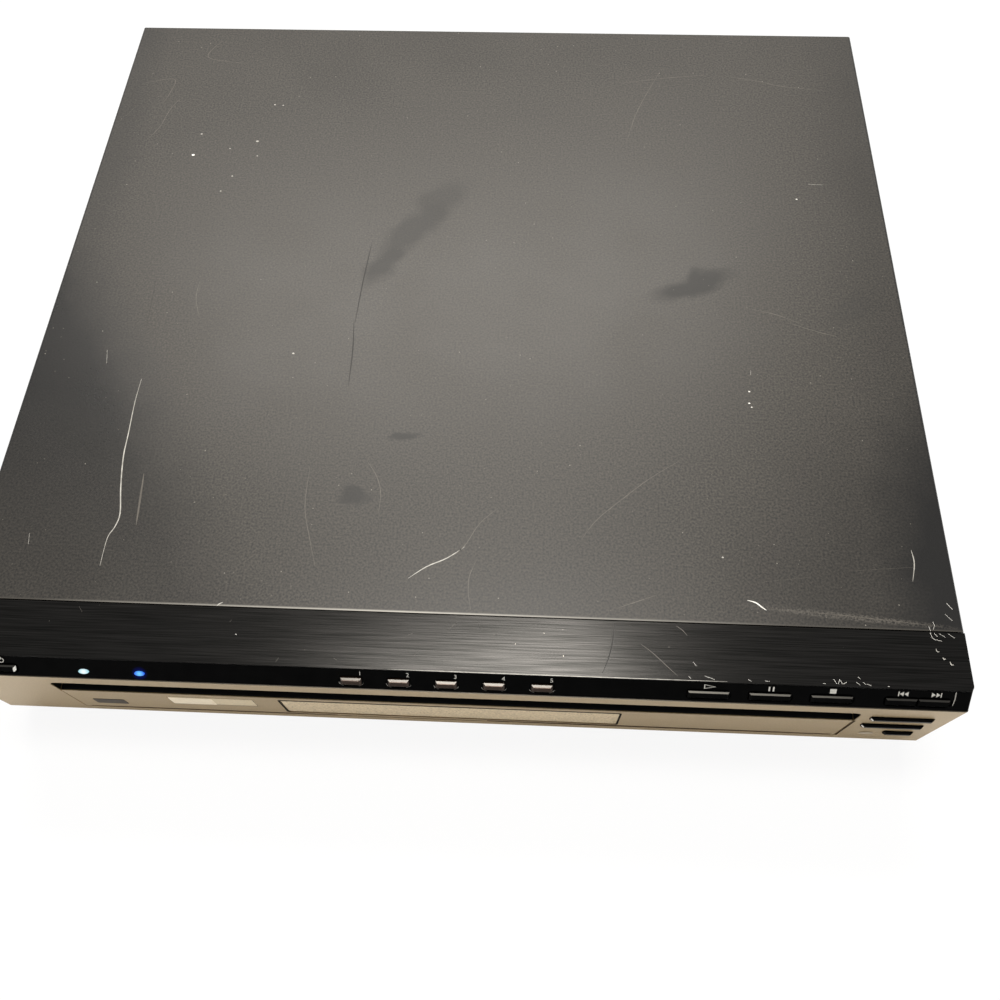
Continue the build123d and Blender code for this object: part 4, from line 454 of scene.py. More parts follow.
# painted light: the blue lens's glow on the band round it
blueLow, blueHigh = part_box("indicator_lens_right")
fromBlue = addNode(tree, "VectorMath DISTANCE", {1: (blueLow + blueHigh) / 2}, {0: coords})
glow = addNode(tree, "MapRange", {"From Min": look["glowFrom"] * mm, "From Max": look["glowTo"] * mm,
                                  "To Min": look["glowShare"], "To Max": 0},
               {"Value": fromBlue.outputs["Value"]})
tone = overlay(glow, tone, look["blueGlow"])
keepFinish("gloss_black", material, tone)

# silver painted keys, satin: a painted highlight on the upper bevel, and a face painted warm and dim as a
# painted reflection of the table
silverKey = {
    "tones": ("#2c231d", "#382c25"), "grain": 0.6, "rough": (0.24, 0.34),
    "shader": {"Metallic": 0.6, "Specular IOR Level": 0.3},
    "bevelHighlight": "#45423e", "bevelFrom": -3.95, "bevelFacing": 0.98,
}
material, tree, coords, tone = grained("satinSilverKey", silverKey)
place = addNode(tree, "SeparateXYZ", {}, {0: coords})
tone = overlay(upperBevel(place, silverKey), tone, silverKey["bevelHighlight"])
keepFinish("silver_key", material, tone)

# green solder mask on the laminate, dark parts above it
boardLook = {"tones": ("#1d4a2c", "#245a36"), "grain": 5, "rough": (0.35, 0.5),
             "laminate": 1.7, "parts": "#1c1c1e"}
material, tree, coords, tone = grained("solderMaskBoard", boardLook)
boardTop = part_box("main_board")[0].z + boardLook["laminate"] * mm
place = addNode(tree, "SeparateXYZ", {}, {0: coords})
above = addNode(tree, "Math GREATER_THAN", {1: boardTop}, {0: place.outputs[2]})
keepFinish("board_green", material, overlay(above, tone, boardLook["parts"]))

# white ribbon cable with a grey line between the wires
ribbonLook = {"tones": ("#c9c8c2", "#d8d7d1"), "grain": 2, "rough": (0.4, 0.5),
              "pitch": 1.25, "line": "#8f8e88"}
material, tree, coords, tone = grained("pvcRibbon", ribbonLook)
waveScale = perMm(ribbonLook["pitch"]) * math.pi / 10    # the wave node turns 20 radians in each unit
wires = addNode(tree, "TexWave", {"bands_direction": "X", "Scale": waveScale}, {"Vector": coords})
line = addNode(tree, "MapRange", {"From Min": 0.1, "From Max": 0.3, "To Min": 1, "To Max": 0},
               {"Value": wires.outputs[1]})
keepFinish("ribbon", material, overlay(line, tone, ribbonLook["line"]))

# lit lenses of clear acrylic, brightest at the middle; core and reach in mm
litLenses = {
    "lens_white": {"name": "litWhiteLens", "node": "indicator_lens_left", "middle": "#f4fdff",
                   "rim": "#8fcbd8", "body": "#2a3a3d", "core": 0.3, "reach": 2.3, "power": 1.0},
    "lens_blue": {"name": "litBlueLens", "node": "indicator_lens_right", "middle": "#6fd0ff",
                  "rim": "#0a58ee", "body": "#04102a", "core": 0.2, "reach": 2.2, "power": 1.0},
}
for slotName, look in litLenses.items():
    material, tree, shader, coords = newFinish(look["name"], {
        "Roughness": 0.2, "Base Color": linear(look["body"]), "Emission Strength": look["power"]})
    low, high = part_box(look["node"])
    apart = addNode(tree, "VectorMath SUBTRACT", {1: (low + high) / 2}, {0: coords})
    depth = addNode(tree, "VectorMath PROJECT", {1: bandOut}, {0: apart})
    flat = addNode(tree, "VectorMath DISTANCE", {}, {0: apart, 1: depth})
    spread = addNode(tree, "MapRange", {"From Min": look["core"] * mm, "From Max": look["reach"] * mm},
                     {"Value": flat.outputs["Value"]})
    glow = addNode(tree, "Mix", {"data_type": "RGBA", 6: linear(look["middle"]), 7: linear(look["rim"])},
                   {0: spread})
    tree.links.new(glow.outputs[2], shader.inputs["Emission Color"])
    finishes[slotName] = material

for node in nodes.values():
    for place in node.material_slots:
        place.material = finishes[place.material.name.split(".")[0]]
print("finishes on the CAD nodes")


# thin pieces on the faces, drawn in mm on a plane and raised off it

def newObject(name, bm, material):
    mesh = bpy.data.meshes.new(name)
    bm.to_mesh(mesh)
    bm.free()
    mesh.materials.append(material)
    made = bpy.data.objects.new(name, mesh)
    scene.collection.objects.link(made)
    return made


def addPiece(name, bm, plane, finish, body, rise=0):
    bm.transform(plane @ Matrix.Translation((0, 0, rise * mm)) @ Matrix.Scale(mm, 4))
    piece = newObject(name, bm, finishes[finish])
    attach(piece, body)


# an upright plane towards the front: x across, y up from the height given
def frontPlane(y, z=0):
    return Matrix.Translation((0, y, z)) @ Matrix.Rotation(math.radians(90), 4, "X")


# the same towards the back, seen from there
def backPlane(y):
    return Matrix.Translation((0, y, 0)) @ Matrix(((-1, 0, 0, 0), (0, 0, 1, 0), (0, 1, 0, 0), (0, 0, 0, 1)))


def addOutline(bm, points):
    bm.faces.new([bm.verts.new((x, y, 0)) for x, y in points])


# a band between two closed loops
def addLoopBand(bm, outer, inner):
    outerVerts = [bm.verts.new((x, y, 0)) for x, y in outer]
    innerVerts = [bm.verts.new((x, y, 0)) for x, y in inner]
    for i in range(len(outer)):
        j = (i + 1) % len(outer)
        bm.faces.new((outerVerts[i], outerVerts[j], innerVerts[j], innerVerts[i]))


# a path made smooth by passing a curve through its points
def smoothPath(points, steps=5):
    if len(points) < 3:
        return points
    ends = [points[0]] + list(points) + [points[-1]]
    path = []
    for i in range(1, len(ends) - 2):
        a, b, c, d = (Vector(p) for p in ends[i - 1:i + 3])
        for k in range(steps):
            t = k / steps
            path.append(0.5 * (2 * b + (c - a) * t + (2 * a - 5 * b + 4 * c - d) * t ** 2
                               + (3 * b - a - 3 * c + d) * t ** 3))
    return path + [Vector(points[-1])]


# a stroke that thins out at both ends
def addStroke(bm, points, width, ends=0.25):
    path = [Vector(p) for p in smoothPath(points)]
    rails = []
    for i, point in enumerate(path):
        along = (path[min(i + 1, len(path) - 1)] - path[max(i - 1, 0)]).normalized()
        t = i / (len(path) - 1)
        half = width / 2 * (ends + (1 - ends) * math.sin(math.pi * t))
        side = Vector((-along.y, along.x)) * half
        rails.append([bm.verts.new((*(point + side), 0)), bm.verts.new((*(point - side), 0))])
    for (a, b), (c, d) in zip(rails, rails[1:]):
        bm.faces.new((a, b, d, c))


def circle(x, y, radius, count=24, squash=1.0):
    turns = [2 * math.pi * i / count for i in range(count)]
    return [(x + radius * math.cos(t), y + squash * radius * math.sin(t)) for t in turns]


def triangle(x, y, width, height):
    return [(x - width / 2, y - height / 2), (x + width / 2, y), (x - width / 2, y + height / 2)]


def bar(x, y, width, height):
    return [(x - width / 2, y - height / 2), (x + width / 2, y - height / 2),
            (x + width / 2, y + height / 2), (x - width / 2, y + height / 2)]


def roundedBar(x, y, width, height, radius, count=6):
    points = []
    for corner, (sx, sy) in enumerate(((1, 1), (-1, 1), (-1, -1), (1, -1))):
        for i in range(count + 1):
            turn = math.radians(90 * corner + 90 * i / count)
            points.append((x + sx * (width / 2 - radius) + radius * math.cos(turn),
                           y + sy * (height / 2 - radius) + radius * math.sin(turn)))
    return points


# figures as filled outlines, centred on the point given
def addFigure(bm, text, size, x, y):
    curve = bpy.data.curves.new("figure", "FONT")
    curve.body = text
    curve.size = size
    curve.align_x = "CENTER"
    curve.align_y = "CENTER"
    holder = bpy.data.objects.new("figure", curve)
    scene.collection.objects.link(holder)
    mesh = bpy.data.meshes.new_from_object(holder.evaluated_get(bpy.context.evaluated_depsgraph_get()))
    for vertex in mesh.vertices:
        vertex.co += Vector((x, y, 0))
    bm.from_mesh(mesh)
    bpy.data.objects.remove(holder)
    bpy.data.curves.remove(curve)
    bpy.data.meshes.remove(mesh)


lift = 0.03    # ink and scratches stand this far, in mm, off their face

# printed figures and signs of the band: x of each, sizes in mm
bandPrint = {
    "row": -2.15, "height": 2.2, "figureSize": 2.8,
    "figures": {"1": -36.8, "2": -16.8, "3": 3.2, "4": 23.2, "5": 43.2},
    "play": 108.4, "playWidth": 4.9, "hollow": (3.724, 1.54), "hollowShift": -0.2,
    "pause": 133.4, "pausePlace": 2.6 / 3, "pauseBar": 0.65, "stop": 158.5, "stopWidth": 2.6,
    "skips": {187.0: -1, 200.1: 1},    # x and the way it points
    "skipWing": 1.62, "wingPlaces": (-1.0425, 0.8475), "skipBar": 0.4, "skipBarPlace": 2.025,
    "power": -189.5, "powerRadius": 1.25, "powerLine": 0.35, "powerStart": 120, "powerSweep": 300,
    "powerSteps": 20, "powerBarPlace": 0.9375, "powerBar": 1.125,
}
look = bandPrint
bm = bmesh.new()
row, height = look["row"], look["height"]
for figure, x in look["figures"].items():
    addFigure(bm, figure, look["figureSize"], x, row)
x = look["play"]
addLoopBand(bm, triangle(x, row, look["playWidth"], height),
            triangle(x + look["hollowShift"], row, *look["hollow"]))
for side in (-1, 1):
    addOutline(bm, bar(look["pause"] + side * look["pausePlace"], row, look["pauseBar"], height))
addOutline(bm, bar(look["stop"], row, look["stopWidth"], height))
for x, way in look["skips"].items():
    for wingPlace in look["wingPlaces"]:
        wing = triangle(wingPlace, row, look["skipWing"], height)
        addOutline(bm, [(x + way * px, py) for px, py in wing][::way])
    addOutline(bm, bar(x + way * look["skipBarPlace"], row, look["skipBar"], height))
x, outer = look["power"], look["powerRadius"]
inner = outer - look["powerLine"]
steps = look["powerSteps"]
turns = [math.radians(look["powerStart"] + look["powerSweep"] * i / steps) for i in range(steps + 1)]
for a, b in zip(turns, turns[1:]):
    addOutline(bm, [(x + r * math.cos(t), row + r * math.sin(t))
                    for r, t in ((inner, a), (inner, b), (outer, b), (outer, a))])
addOutline(bm, bar(x, row + look["powerBarPlace"], look["powerLine"], look["powerBar"]))
addPiece("band_print", bm, bandPlane, "whiteInk", "cabinet", lift)

# bare foil plates on the door where the badges sat: middle, width and height in mm
doorPlates = {
    "badge_plate_pale": {"box": (-118.5, -41.1, 19.9, 10.2), "thick": 0.15, "foil": "paleFoil"},
    "badge_plate_dark": {"box": (-158.7, -47.2, 14.6, 7.2), "thick": 0.15, "foil": "darkFoil"},
    "badge_plate_wide": {"box": (-109.0, -40.4, 39.0, 11.4), "thick": 0.08, "foil": "wideFoil"},
}
plateOutline = {"corner": 0.8, "innerCorner": 0.5, "line": 0.3, "rise": 0.11}
plateFace = frontPlane(doorLow.y, topZ)
for name, look in doorPlates.items():
    bm = bmesh.new()
    addOutline(bm, roundedBar(*look["box"], plateOutline["corner"]))
    edge = bmesh.ops.extrude_face_region(bm, geom=bm.faces[:])
    raised = [v for v in edge["geom"] if isinstance(v, bmesh.types.BMVert)]
    bmesh.ops.translate(bm, verts=raised, vec=(0, 0, look["thick"]))
    addPiece(name, bm, plateFace, look["foil"], "drawer")
x, y, width, height = doorPlates["badge_plate_wide"]["box"]
line = plateOutline["line"]
bm = bmesh.new()
addLoopBand(bm, roundedBar(x, y, width, height, plateOutline["corner"]),
            roundedBar(x, y, width - 2 * line, height - 2 * line, plateOutline["innerCorner"]))
addPiece("badge_outline", bm, plateFace, "darkFoil", "drawer", plateOutline["rise"])
print("print and plates")

# scratches of the cover as width: paths of x, y, x, y..., in mm across and behind the seam
coverWear = {
    "pale": {
        0.55: [(-159.2, 115.3, -159.5, 102.2, -158.7, 84.5, -158.2, 71.9, -155.8, 56.2, -153, 42.7,
                -153.8, 36, -155.9, 30.2, -156, 16.9)],
        0.5: [
            (-191.6, 31.4, -190.6, 26.2), (-180.1, 131.9, -178.6, 123.9),
            (-19.8, 16, -12.3, 21.7, -3.8, 26, 3.9, 31.8), (-100.9, 0.4, -100.2, 1.2, -98.6, 2.1),
            (136.5, 129.8, 136.2, 126.9), (177.1, 252.4, 184.8, 252.1),
        ],
        0.45: [(198.5, 37.1, 198.9, 30.9, 196.9, 22.3)],
    },
    "bright": {
        0.6: [(125.7, 11.2, 129.2, 10.2, 131.6, 8.3, 133.4, 7), (209.6, 12.9, 211.5, 10.2)],
        0.5: [(200.4, 2.4, 200.8, 0.3), (202.4, 4.4, 202.9, 2.6)],
        0.4: [(202.7, 2.4, 202, 1), (208.1, 8, 210.6, 5.2)],
    },
    "faint": {
        0.9: [(-146.6, 63.4, -145.4, 49.7, -144.4, 37.2)],
        0.35: [
            (-44.3, 73.9, -38.7, 65.4, -36, 56.9, -36, 46.8), (9.4, 25.6, 6.6, 17.7, 6.7, 10, 8.1, 2.5),
            (-70.1, 69.5, -69.6, 48.9, -65.1, 32.6, -61.1, 19.9),
            (99.4, 77.9, 86.2, 68.7, 73.9, 58.1, 61.8, 46.8, 54.5, 36),
            (18.5, 52, 9.9, 43.4, 3.9, 32.6, -2.3, 26), (70.2, 5.5, 78.7, 8.8, 87.3, 12.2),
            (133.9, 20, 153.4, 22.7), (173.7, 26.5, 198.2, 29),
            (158.1, 158.4, 170.7, 153.7, 180.1, 150.9), (139.9, 166.6, 152, 163.4, 164.6, 157.6),
            (76.6, 329.5, 101.9, 334.3, 127.3, 337.7),
            (100.2, 340, 90.8, 318.7, 84.7, 302.2, 79.6, 282.2),
            (138.9, 336.6, 156, 333.2, 170.9, 328.8, 193.5, 326), (9.1, 248.8, 14, 239.1),
            (154, 357.1, 159.4, 351.3), (-163.7, 361.9, -169.7, 346.8, -145.6, 342),
            (-204.2, 323.4, -186.7, 327.5, -186.4, 316.7, -189.1, 306.8),
            (-179.1, 312.6, -183.7, 301.4, -186.7, 287.8, -192.1, 277), (-208.7, 228.5, -199.3, 226.3),
            (-208.8, 295.4, -204.7, 303.2), (-142.2, 176.8, -142, 165.3, -138.2, 154.2),
            (-179.5, 236.6, -173.2, 219.8),
        ],
        0.3: [(134, 7.6, 160, 6.2, 185, 4.2, 201, 2.8)],
    },
    "dark": {
        0.6: [
            (-55.6, 205.5, -57.5, 179.6, -58.7, 151.9), (-59.4, 154, -57.9, 135.6, -57.6, 114),
            (-165.3, 178.8, -163.6, 146.7),
        ],
    },
    "paleChips": [    # x, y, radius
        (-123.1, 307.2, 0.6), (-118.2, 306.8, 0.5), (-161.5, 282.5, 0.6), (-128.6, 277.5, 0.8),
        (-126.8, 266.1, 0.5), (-142.7, 239.2, 0.5), (-138.2, 250.5, 0.5), (-143.2, 271.4, 0.5),
        (-87.1, 132.7, 0.6), (116.6, 30.7, 0.5),
    ],
    "brightChips": [
        (-163.1, 266, 0.9), (169.7, 241.3, 0.5), (134.8, 117.3, 0.5), (134.3, 110.7, 0.5),
        (135.3, 108.5, 0.4),
    ],
    "chipSides": 9, "chipSquash": 0.75,
}

# scratches of the brushed plate and of the band, and a highlight painted along the plate's front edge
plateWear = {
    "pale": {
        0.4: [
            (101.5, -16.5, 102.9, -18.3), (99.4, -22.6, 100.2, -23.6), (106, -22.2, 107.6, -23),
            (107.3, -22.6, 109.9, -23.6), (130.5, -23.4, 132.4, -23.5), (153.9, -23.5, 155.1, -23.6),
            (167.5, -22.5, 169.1, -23.7), (170.2, -22.4, 171.3, -23.3), (171.6, -23.1, 173.5, -23.7),
            (168.4, -20.3, 169.4, -21.2), (180, -23.7, 180.9, -23.8), (202.8, -3.3, 205, -3.8),
            (204.4, -0.6, 206.6, -2), (208.1, -0.5, 210.6, -2.4),
        ],
        0.5: [
            (123.6, -23, 124.9, -23.7), (158.4, -21.6, 159.6, -23.4), (160.1, -23.6, 160.9, -21.5),
            (161, -21.8, 161.9, -23.6), (162.2, -23.4, 163.6, -22.7), (200.7, -0.3, 201.3, -2.7),
            (201.2, -2.6, 202.6, -3.5), (-91.2, -11.7, -90.4, -11.9),
        ],
        0.45: [(202.2, -0.4, 203.5, -1.9)],
    },
    "dull": {
        # the first stroke is a highlight painted along the plate's front edge
        0.35: [(-25, -24.35, 20, -24.4, 70, -24.35, 115, -24.3), (202.1, -7.1, 202.2, -8.2, 203.2, -8.5)],
        0.4: [(204.1, -10.7, 204.6, -11.5, 205.3, -11.3), (206.9, -12.5, 207.2, -13.7, 208.2, -13.8)],
    },
    "faint": {
        0.3: [
            (80.2, -9.8, 85, -13.4, 90.2, -18.3, 94.9, -22.7), (95, -1.2, 97.6, -3, 99.6, -5.3),
            (34.8, -16.4, 37.4, -15.4),
        ],
        0.35: [
            (-0.8, -6.4, 2.6, -2.9), (-17.6, -9.4, -15.8, -8.4), (-14.5, -18.3, -12, -15.4),
            (-160.8, -1.9, -158.8, -4.3), (-94.3, -6.4, -93.6, -5.4), (-72.2, -23.1, -71.1, -21.2),
        ],
        0.4: [(-48, -20.5, -46.5, -21.4)],
    },
    "dark": {
        0.45: [(69.2, -0.9, 68.4, -8.1, 66.7, -15.7, 64, -22.7)],
        0.5: [(11.8, -2.1, 12.8, -6.4)],
        0.7: [(19.2, -7.6, 19.9, -8.4)],
    },
    "band": {0.5: [(207.9, -0.4, 207.8, -1.2, 207.9, -3.8, 207.5, -7)]},
    "sheet": 1.2,    # thickness of the plate, which slopes to the front
}
coverPlane = Matrix.Translation((0, seamY, topZ))
plateDrop = plateHigh.z - plateLow.z - plateWear["sheet"] * mm
plateTilt = math.atan2(plateDrop, plateHigh.y - plateLow.y)
platePlane = Matrix.Translation((0, seamY, plateHigh.z)) @ Matrix.Rotation(plateTilt, 4, "X")


def addWear(name, strokes, wear, plane, chips=()):
    bm = bmesh.new()
    for width, paths in strokes.items():
        for row in paths:
            addStroke(bm, list(zip(row[::2], row[1::2])), width)
    for x, y, radius in chips:
        addOutline(bm, circle(x, y, radius, coverWear["chipSides"], coverWear["chipSquash"]))
    addPiece(name, bm, plane, wear, "cabinet", lift)


for name, kind, wear in (("cover_scratches", "pale", "paleWearAndHighlight"), ("cover_chips", "bright", "brightWear"),
                         ("cover_rubs", "faint", "faintWear"), ("cover_dark_lines", "dark", "darkWearAndShade")):
    addWear(name, coverWear[kind], wear, coverPlane, coverWear.get(kind + "Chips", ()))
for name, kind, wear in (("plate_scratches", "pale", "brightWear"), ("plate_dull_marks", "dull", "paleWearAndHighlight"),
                         ("plate_hairs", "faint", "faintWear"), ("plate_dark_lines", "dark", "darkWearAndShade")):
    addWear(name, plateWear[kind], wear, platePlane)
addWear("band_scratch", plateWear["band"], "paleWearAndHighlight", bandPlane)

# painted shadow of the gap round the window: a thin dark line, strongest along its upper edge, in mm
windowLine = {"width": 153.0, "rise": 3.0, "height": 21.4, "side": 0.7, "upper": 1.3, "lower": 0.2,
              "corner": 1.2, "lap": 0.2}
look = windowLine
paneX = (windowLow.x + windowHigh.x) / 2 / mm
paneZ = doorLow.z / mm + look["rise"] + look["height"] / 2
paneSize = Vector((look["width"], look["height"]))
lapped = paneSize + Vector((2, 2)) * look["lap"]
clear = paneSize - Vector((2 * look["side"], look["upper"] + look["lower"]))
clearZ = paneZ + (look["lower"] - look["upper"]) / 2
bm = bmesh.new()
addLoopBand(bm, roundedBar(paneX, paneZ, *lapped, look["corner"]),
            roundedBar(paneX, clearZ, *clear, look["corner"]))
addPiece("window_gap_shadow", bm, frontPlane(doorLow.y), "gapDark", "drawer", lift)
print("wear")

# painted shade on the edges of the gap round the door, in mm: along its foot, and beside its right end
gapLines = {"foot": [(1.5, -172, -55), (0.6, -60, 25), (1.9, 15, 173)],    # width, from x to x
            "footEnds": 0.5, "gap": 0.5, "endWidth": 0.9}
bm = bmesh.new()
for width, start, stop in gapLines["foot"]:
    footZ = doorLow.z / mm + width / 2
    path = [(start, footZ), ((start + stop) / 2, footZ), (stop, footZ)]
    addStroke(bm, path, width, gapLines["footEnds"])
addPiece("door_foot_shade", bm, frontPlane(doorLow.y), "gapShade", "drawer", lift)
endX = doorHigh.x / mm + gapLines["gap"] + gapLines["endWidth"] / 2
bm = bmesh.new()
addStroke(bm, [(endX, doorLow.z / mm), (endX, doorHigh.z / mm)], gapLines["endWidth"], 1)
addPiece("gap_end_shade", bm, frontPlane(bezelLow.y), "gapShade", "cabinet", lift)

# a stepped apron that closes the gap between the door's recess and the tray's front wall, in mm
trayApron = {"beyond": 3.5, "below": 3.0, "thick": 1.0, "step": 0.4, "stepRun": 1.5, "reach": 17.5}
look = trayApron
low = doorHigh.z / mm - look["below"]
high = low + look["thick"]
front = recessHigh.y / mm
back = front + look["reach"]
profile = [(front, low), (back, low), (back, high), (front + 2 * look["stepRun"], high),
           (front + look["stepRun"], high - look["step"]), (front, high - look["step"])]
bm = bmesh.new()
half = (carouselHigh.x - carouselLow.x) / 2 / mm + look["beyond"]
ends = [[bm.verts.new((x, y, z)) for y, z in profile] for x in (-half, half)]
for i in range(len(profile)):
    j = (i + 1) % len(profile)
    bm.faces.new((ends[0][i], ends[0][j], ends[1][j], ends[1][i]))
bm.faces.new(ends[0][::-1])
bm.faces.new(ends[1])
bmesh.ops.recalc_face_normals(bm, faces=bm.faces[:])
addPiece("tray_apron", bm, Matrix.Identity(4), "tray_black", "drawer")
print("gap lines and apron")

# coloured rings in the ends of the jacks: moulded nylon, clear colours with a dull shine
jackRings = {
    "outer": 3.5, "inner": 1.75, "sides": 32, "rise": 0.02, "nylon": {"grain": 1.5, "rough": (0.35, 0.45)},
    "tones": {"red": ("#9c1f1c", "#ad2a26"), "white": ("#d8d6cf", "#e6e4de"),
              "yellow": ("#c9a21e", "#d8b22e"), "black": ("#1b1b1b", "#262626"),
              "blue": ("#1f4f9c", "#2a5cad"), "green": ("#1f7a3a", "#2a8a46"),
              "orange": ("#b8601c", "#c76d28")},
    "jacks": {"front_left": "white", "front_right": "red", "surround_left": "white", "surround_right": "red",
              "centre": "green", "woofer": "black", "video": "yellow", "component_y": "green",
              "component_pb": "blue", "component_pr": "red", "audio_left": "white", "audio_right": "red",
              "coaxial": "orange"},
}
jackPlaces = {m["name"][5:]: m["pos_m"] for m in frame["record"]["mounts"] if m["name"].startswith("jack_")}
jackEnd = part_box("phono_jacks")[1].y
for hue, tones in jackRings["tones"].items():
    bm = bmesh.new()
    for name in (jack for jack, ring in jackRings["jacks"].items() if ring == hue):
        x, _, z = (v / mm for v in jackPlaces[name])
        addLoopBand(bm, *(circle(-x, z, jackRings[edge], jackRings["sides"]) for edge in ("outer", "inner")))
    finishes[hue] = grained("moulded" + hue.title() + "Ring", {"tones": tones, **jackRings["nylon"]})[0]
    addPiece("jack_rings_" + hue, bm, backPlane(jackEnd), hue, "cabinet", jackRings["rise"])

# printed frames round the groups of jacks, corner to corner in mm
panelPrint = {"line": 0.6, "corner": 1.5, "innerCorner": 1.0,
              "groups": [(94.5, 19.5, 184.5, 34.5), (94.5, 34.9, 184.5, 49.5), (72.5, 19.5, 87.5, 49.5)]}
bm = bmesh.new()
for x0, z0, x1, z1 in panelPrint["groups"]:
    middle = ((-x0 - x1) / 2, (z0 + z1) / 2)
    width, height = x1 - x0, z1 - z0
    line = panelPrint["line"]
    addLoopBand(bm, roundedBar(*middle, width, height, panelPrint["corner"]),
                roundedBar(*middle, width - 2 * line, height - 2 * line, panelPrint["innerCorner"]))
addPiece("panel_print", bm, backPlane(panelHigh.y), "whiteInk", "cabinet", lift)

# figures beside the seats of the carousel, in mm
seatFigures = {"size": 12.0, "reach": 150.0}
middle = (carouselLow + carouselHigh) / 2
seats = [o for o in frame["record"]["physics"]["openings"] if o["name"].startswith("disc_seat_")]
bm = bmesh.new()
for seat in seats:
    low, high = (Vector(corner) for corner in seat["box_m"])
    outward = (low + high) / 2 - middle
    turn = math.atan2(outward.y, outward.x) + math.pi / len(seats)
    addFigure(bm, seat["name"][-1], seatFigures["size"], math.cos(turn) * seatFigures["reach"],
              math.sin(turn) * seatFigures["reach"])
deckPlane = Matrix.Translation((middle.x, middle.y, carouselHigh.z))
addPiece("seat_figures", bm, deckPlane, "whiteInk", "carousel", lift)


# the separate solids of a node as their corner boxes
def islands(node):
    bm = bmesh.new()
    bm.from_mesh(node.data)
    bmesh.ops.remove_doubles(bm, verts=bm.verts, dist=1e-6)
    left = set(bm.verts)
    boxes = []
    while left:
        stack = [left.pop()]
        found = []
        while stack:
            vertex = stack.pop()
            found.append(vertex.co.copy())
            near = left.intersection(edge.other_vert(vertex) for edge in vertex.link_edges)
            left -= near
            stack.extend(near)
        boxes.append([Vector(pick(co[i] for co in found) for i in range(3)) for pick in (min, max)])
    bm.free()
    return sorted(boxes, key=lambda box: tuple(box[0]))


# cross recesses of the screws, as painted shade in their slots, in mm
screwCross = {"reach": 1.9, "half": 0.3, "rise": 0.02}
reach, half = screwCross["reach"], screwCross["half"]
arm = [(reach, -half), (reach, half), (half, half)]
crossPoints = []
for quarter in range(4):
    crossPoints += arm
    arm = [(-y, x) for x, y in arm]
bm = bmesh.new()
for low, high in islands(nodes["case_screws"]):
    size = high - low
    axis = max(range(3), key=lambda i: size[i])
    outer = high if abs(high[axis]) > abs(low[axis]) else low
    out = Vector([math.copysign(1, outer[i]) if i == axis else 0 for i in range(3)])
    head = (low + high) / 2
    head[axis] = outer[axis]
    turn = out.to_track_quat("Z", "Y").to_matrix().to_4x4()
    headPlane = Matrix.Translation(head / mm + out * screwCross["rise"]) @ turn
    bm.faces.new([bm.verts.new(headPlane @ Vector((x, y, 0))) for x, y in crossPoints])
addPiece("screw_cross_shade", bm, Matrix.Identity(4), "darkWearAndShade", "cabinet")
print("back and carousel details")

# matt paper floor that keeps the shadow and runs out into the white of the background
# in m from the middle, and the paper's drift in mm
studioFloor = {"span": 9.0, "tones": ("#f0f0f0", "#f5f5f5"), "drift": 120,
               "whiteFrom": 0.5, "whiteTo": 1.4, "whiteLeast": 0.91}
look = studioFloor
floorPaper, tree, shader, coords = newFinish("mattPaperFloor", {"Roughness": 0.9, "Specular IOR Level": 0.0})
paper = addNode(tree, "TexNoise", {"Scale": perMm(look["drift"])}, {"Vector": coords})
darker, lighter = (linear(code) for code in look["tones"])
paperTone = addNode(tree, "Mix", {"data_type": "RGBA", 6: darker, 7: lighter}, {0: paper})
tree.links.new(paperTone.outputs[2], shader.inputs["Base Color"])
light = addNode(tree, "Emission", {"Color": (1, 1, 1, 1), "Strength": 1.0})
path = addNode(tree, "LightPath")
seen = either(path.outputs["Is Camera Ray"], path.outputs["Is Transmission Ray"])
away = addNode(tree, "VectorMath LENGTH", {}, {0: coords})
fading = addNode(tree, "MapRange", {"From Min": look["whiteFrom"], "From Max": look["whiteTo"],
                                    "To Min": look["whiteLeast"], "To Max": 1.0},
                 {"Value": away.outputs["Value"]})
share = both(seen, fading)
mixed = addNode(tree, "MixShader", {}, {0: share, 1: shader, 2: light})
tree.links.new(mixed.outputs[0], tree.nodes["Material Output"].inputs["Surface"])
bm = bmesh.new()
bmesh.ops.create_grid(bm, x_segments=4, y_segments=4, size=look["span"] / 2)
floor = newObject("studio_floor", bm, floorPaper)

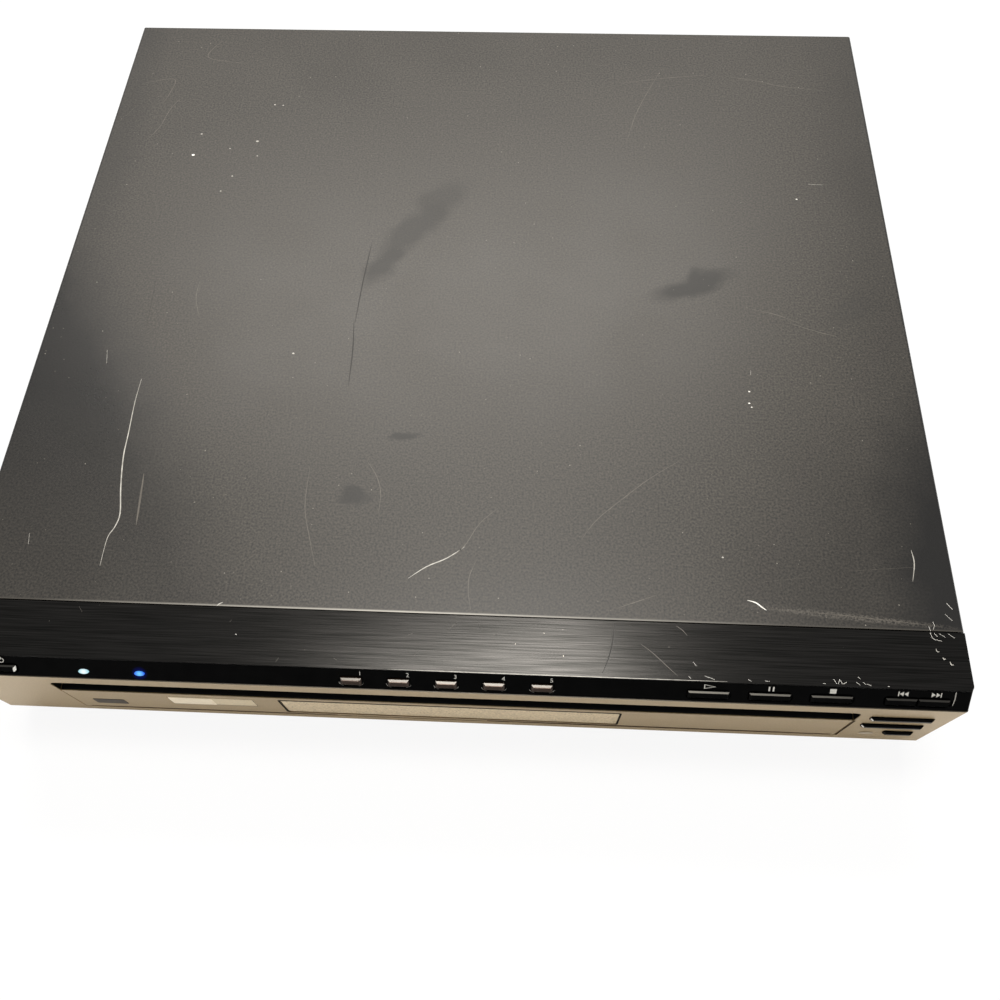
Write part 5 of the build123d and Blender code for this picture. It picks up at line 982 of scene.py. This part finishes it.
# a white room for whatever is seen or mirrored, a softer one for the light it gives
roomLight = 0.33
world = bpy.data.worlds.new("studioRoom")
scene.world = world
world.use_nodes = True
tree = world.node_tree
room = tree.nodes["Background"]
room.inputs["Color"].default_value = (1, 1, 1, 1)
path = addNode(tree, "LightPath")
mirrored = either(path.outputs["Is Glossy Ray"], path.outputs["Is Transmission Ray"])
shown = either(mirrored, path.outputs["Is Camera Ray"])
strength = addNode(tree, "MapRange", {"To Min": roomLight, "To Max": 1.0}, {"Value": shown})
tree.links.new(strength.outputs[0], room.inputs["Strength"])

# a near soft box whose mirror image lies on the brushed plate, and a wide one behind for the cover
lamps = {
    "plateSoftBox": {"size": (0.695, 0.35), "place": (-0.061, 0.134, 2.0), "power": 31.5,
                     "colour": "#fffcf7"},
    "coverSoftBox": {"size": (1.79, 0.5), "place": (-0.205, 1.471, 2.0), "power": 53.5,
                     "colour": "#fffaf2"},
}
lampAim = Vector((0, 0, 0.05))
for name, look in lamps.items():
    lamp = bpy.data.lights.new(name, "AREA")
    lamp.shape = "RECTANGLE"
    lamp.size, lamp.size_y = look["size"]
    lamp.energy = look["power"]
    lamp.color = linear(look["colour"])[:3]
    holder = bpy.data.objects.new(name, lamp)
    holder.location = look["place"]
    holder.rotation_euler = (lampAim - Vector(look["place"])).to_track_quat("-Z", "Y").to_euler()
    scene.collection.objects.link(holder)

# the photo's eye, above and in front: place in mm from the middle of the seam
photoView = {"lens": 33.006, "sensor": 36, "turn": (0.465666268, 0.0170509542, 0.0429992322),
             "place": (32.627, -130.144, 369.919), "nearest": 0.01}
look = photoView
camera = bpy.data.cameras.new("photoView")
camera.lens = look["lens"]
camera.sensor_width = look["sensor"]
camera.clip_start = look["nearest"]
cameraHolder = bpy.data.objects.new("photoView", camera)
cameraHolder.rotation_euler = Euler(look["turn"], "XYZ")
cameraHolder.location = Vector((0, seamY, topZ)) + Vector(look["place"]) * mm
scene.collection.objects.link(cameraHolder)
scene.camera = cameraHolder
print("floor, light and camera")
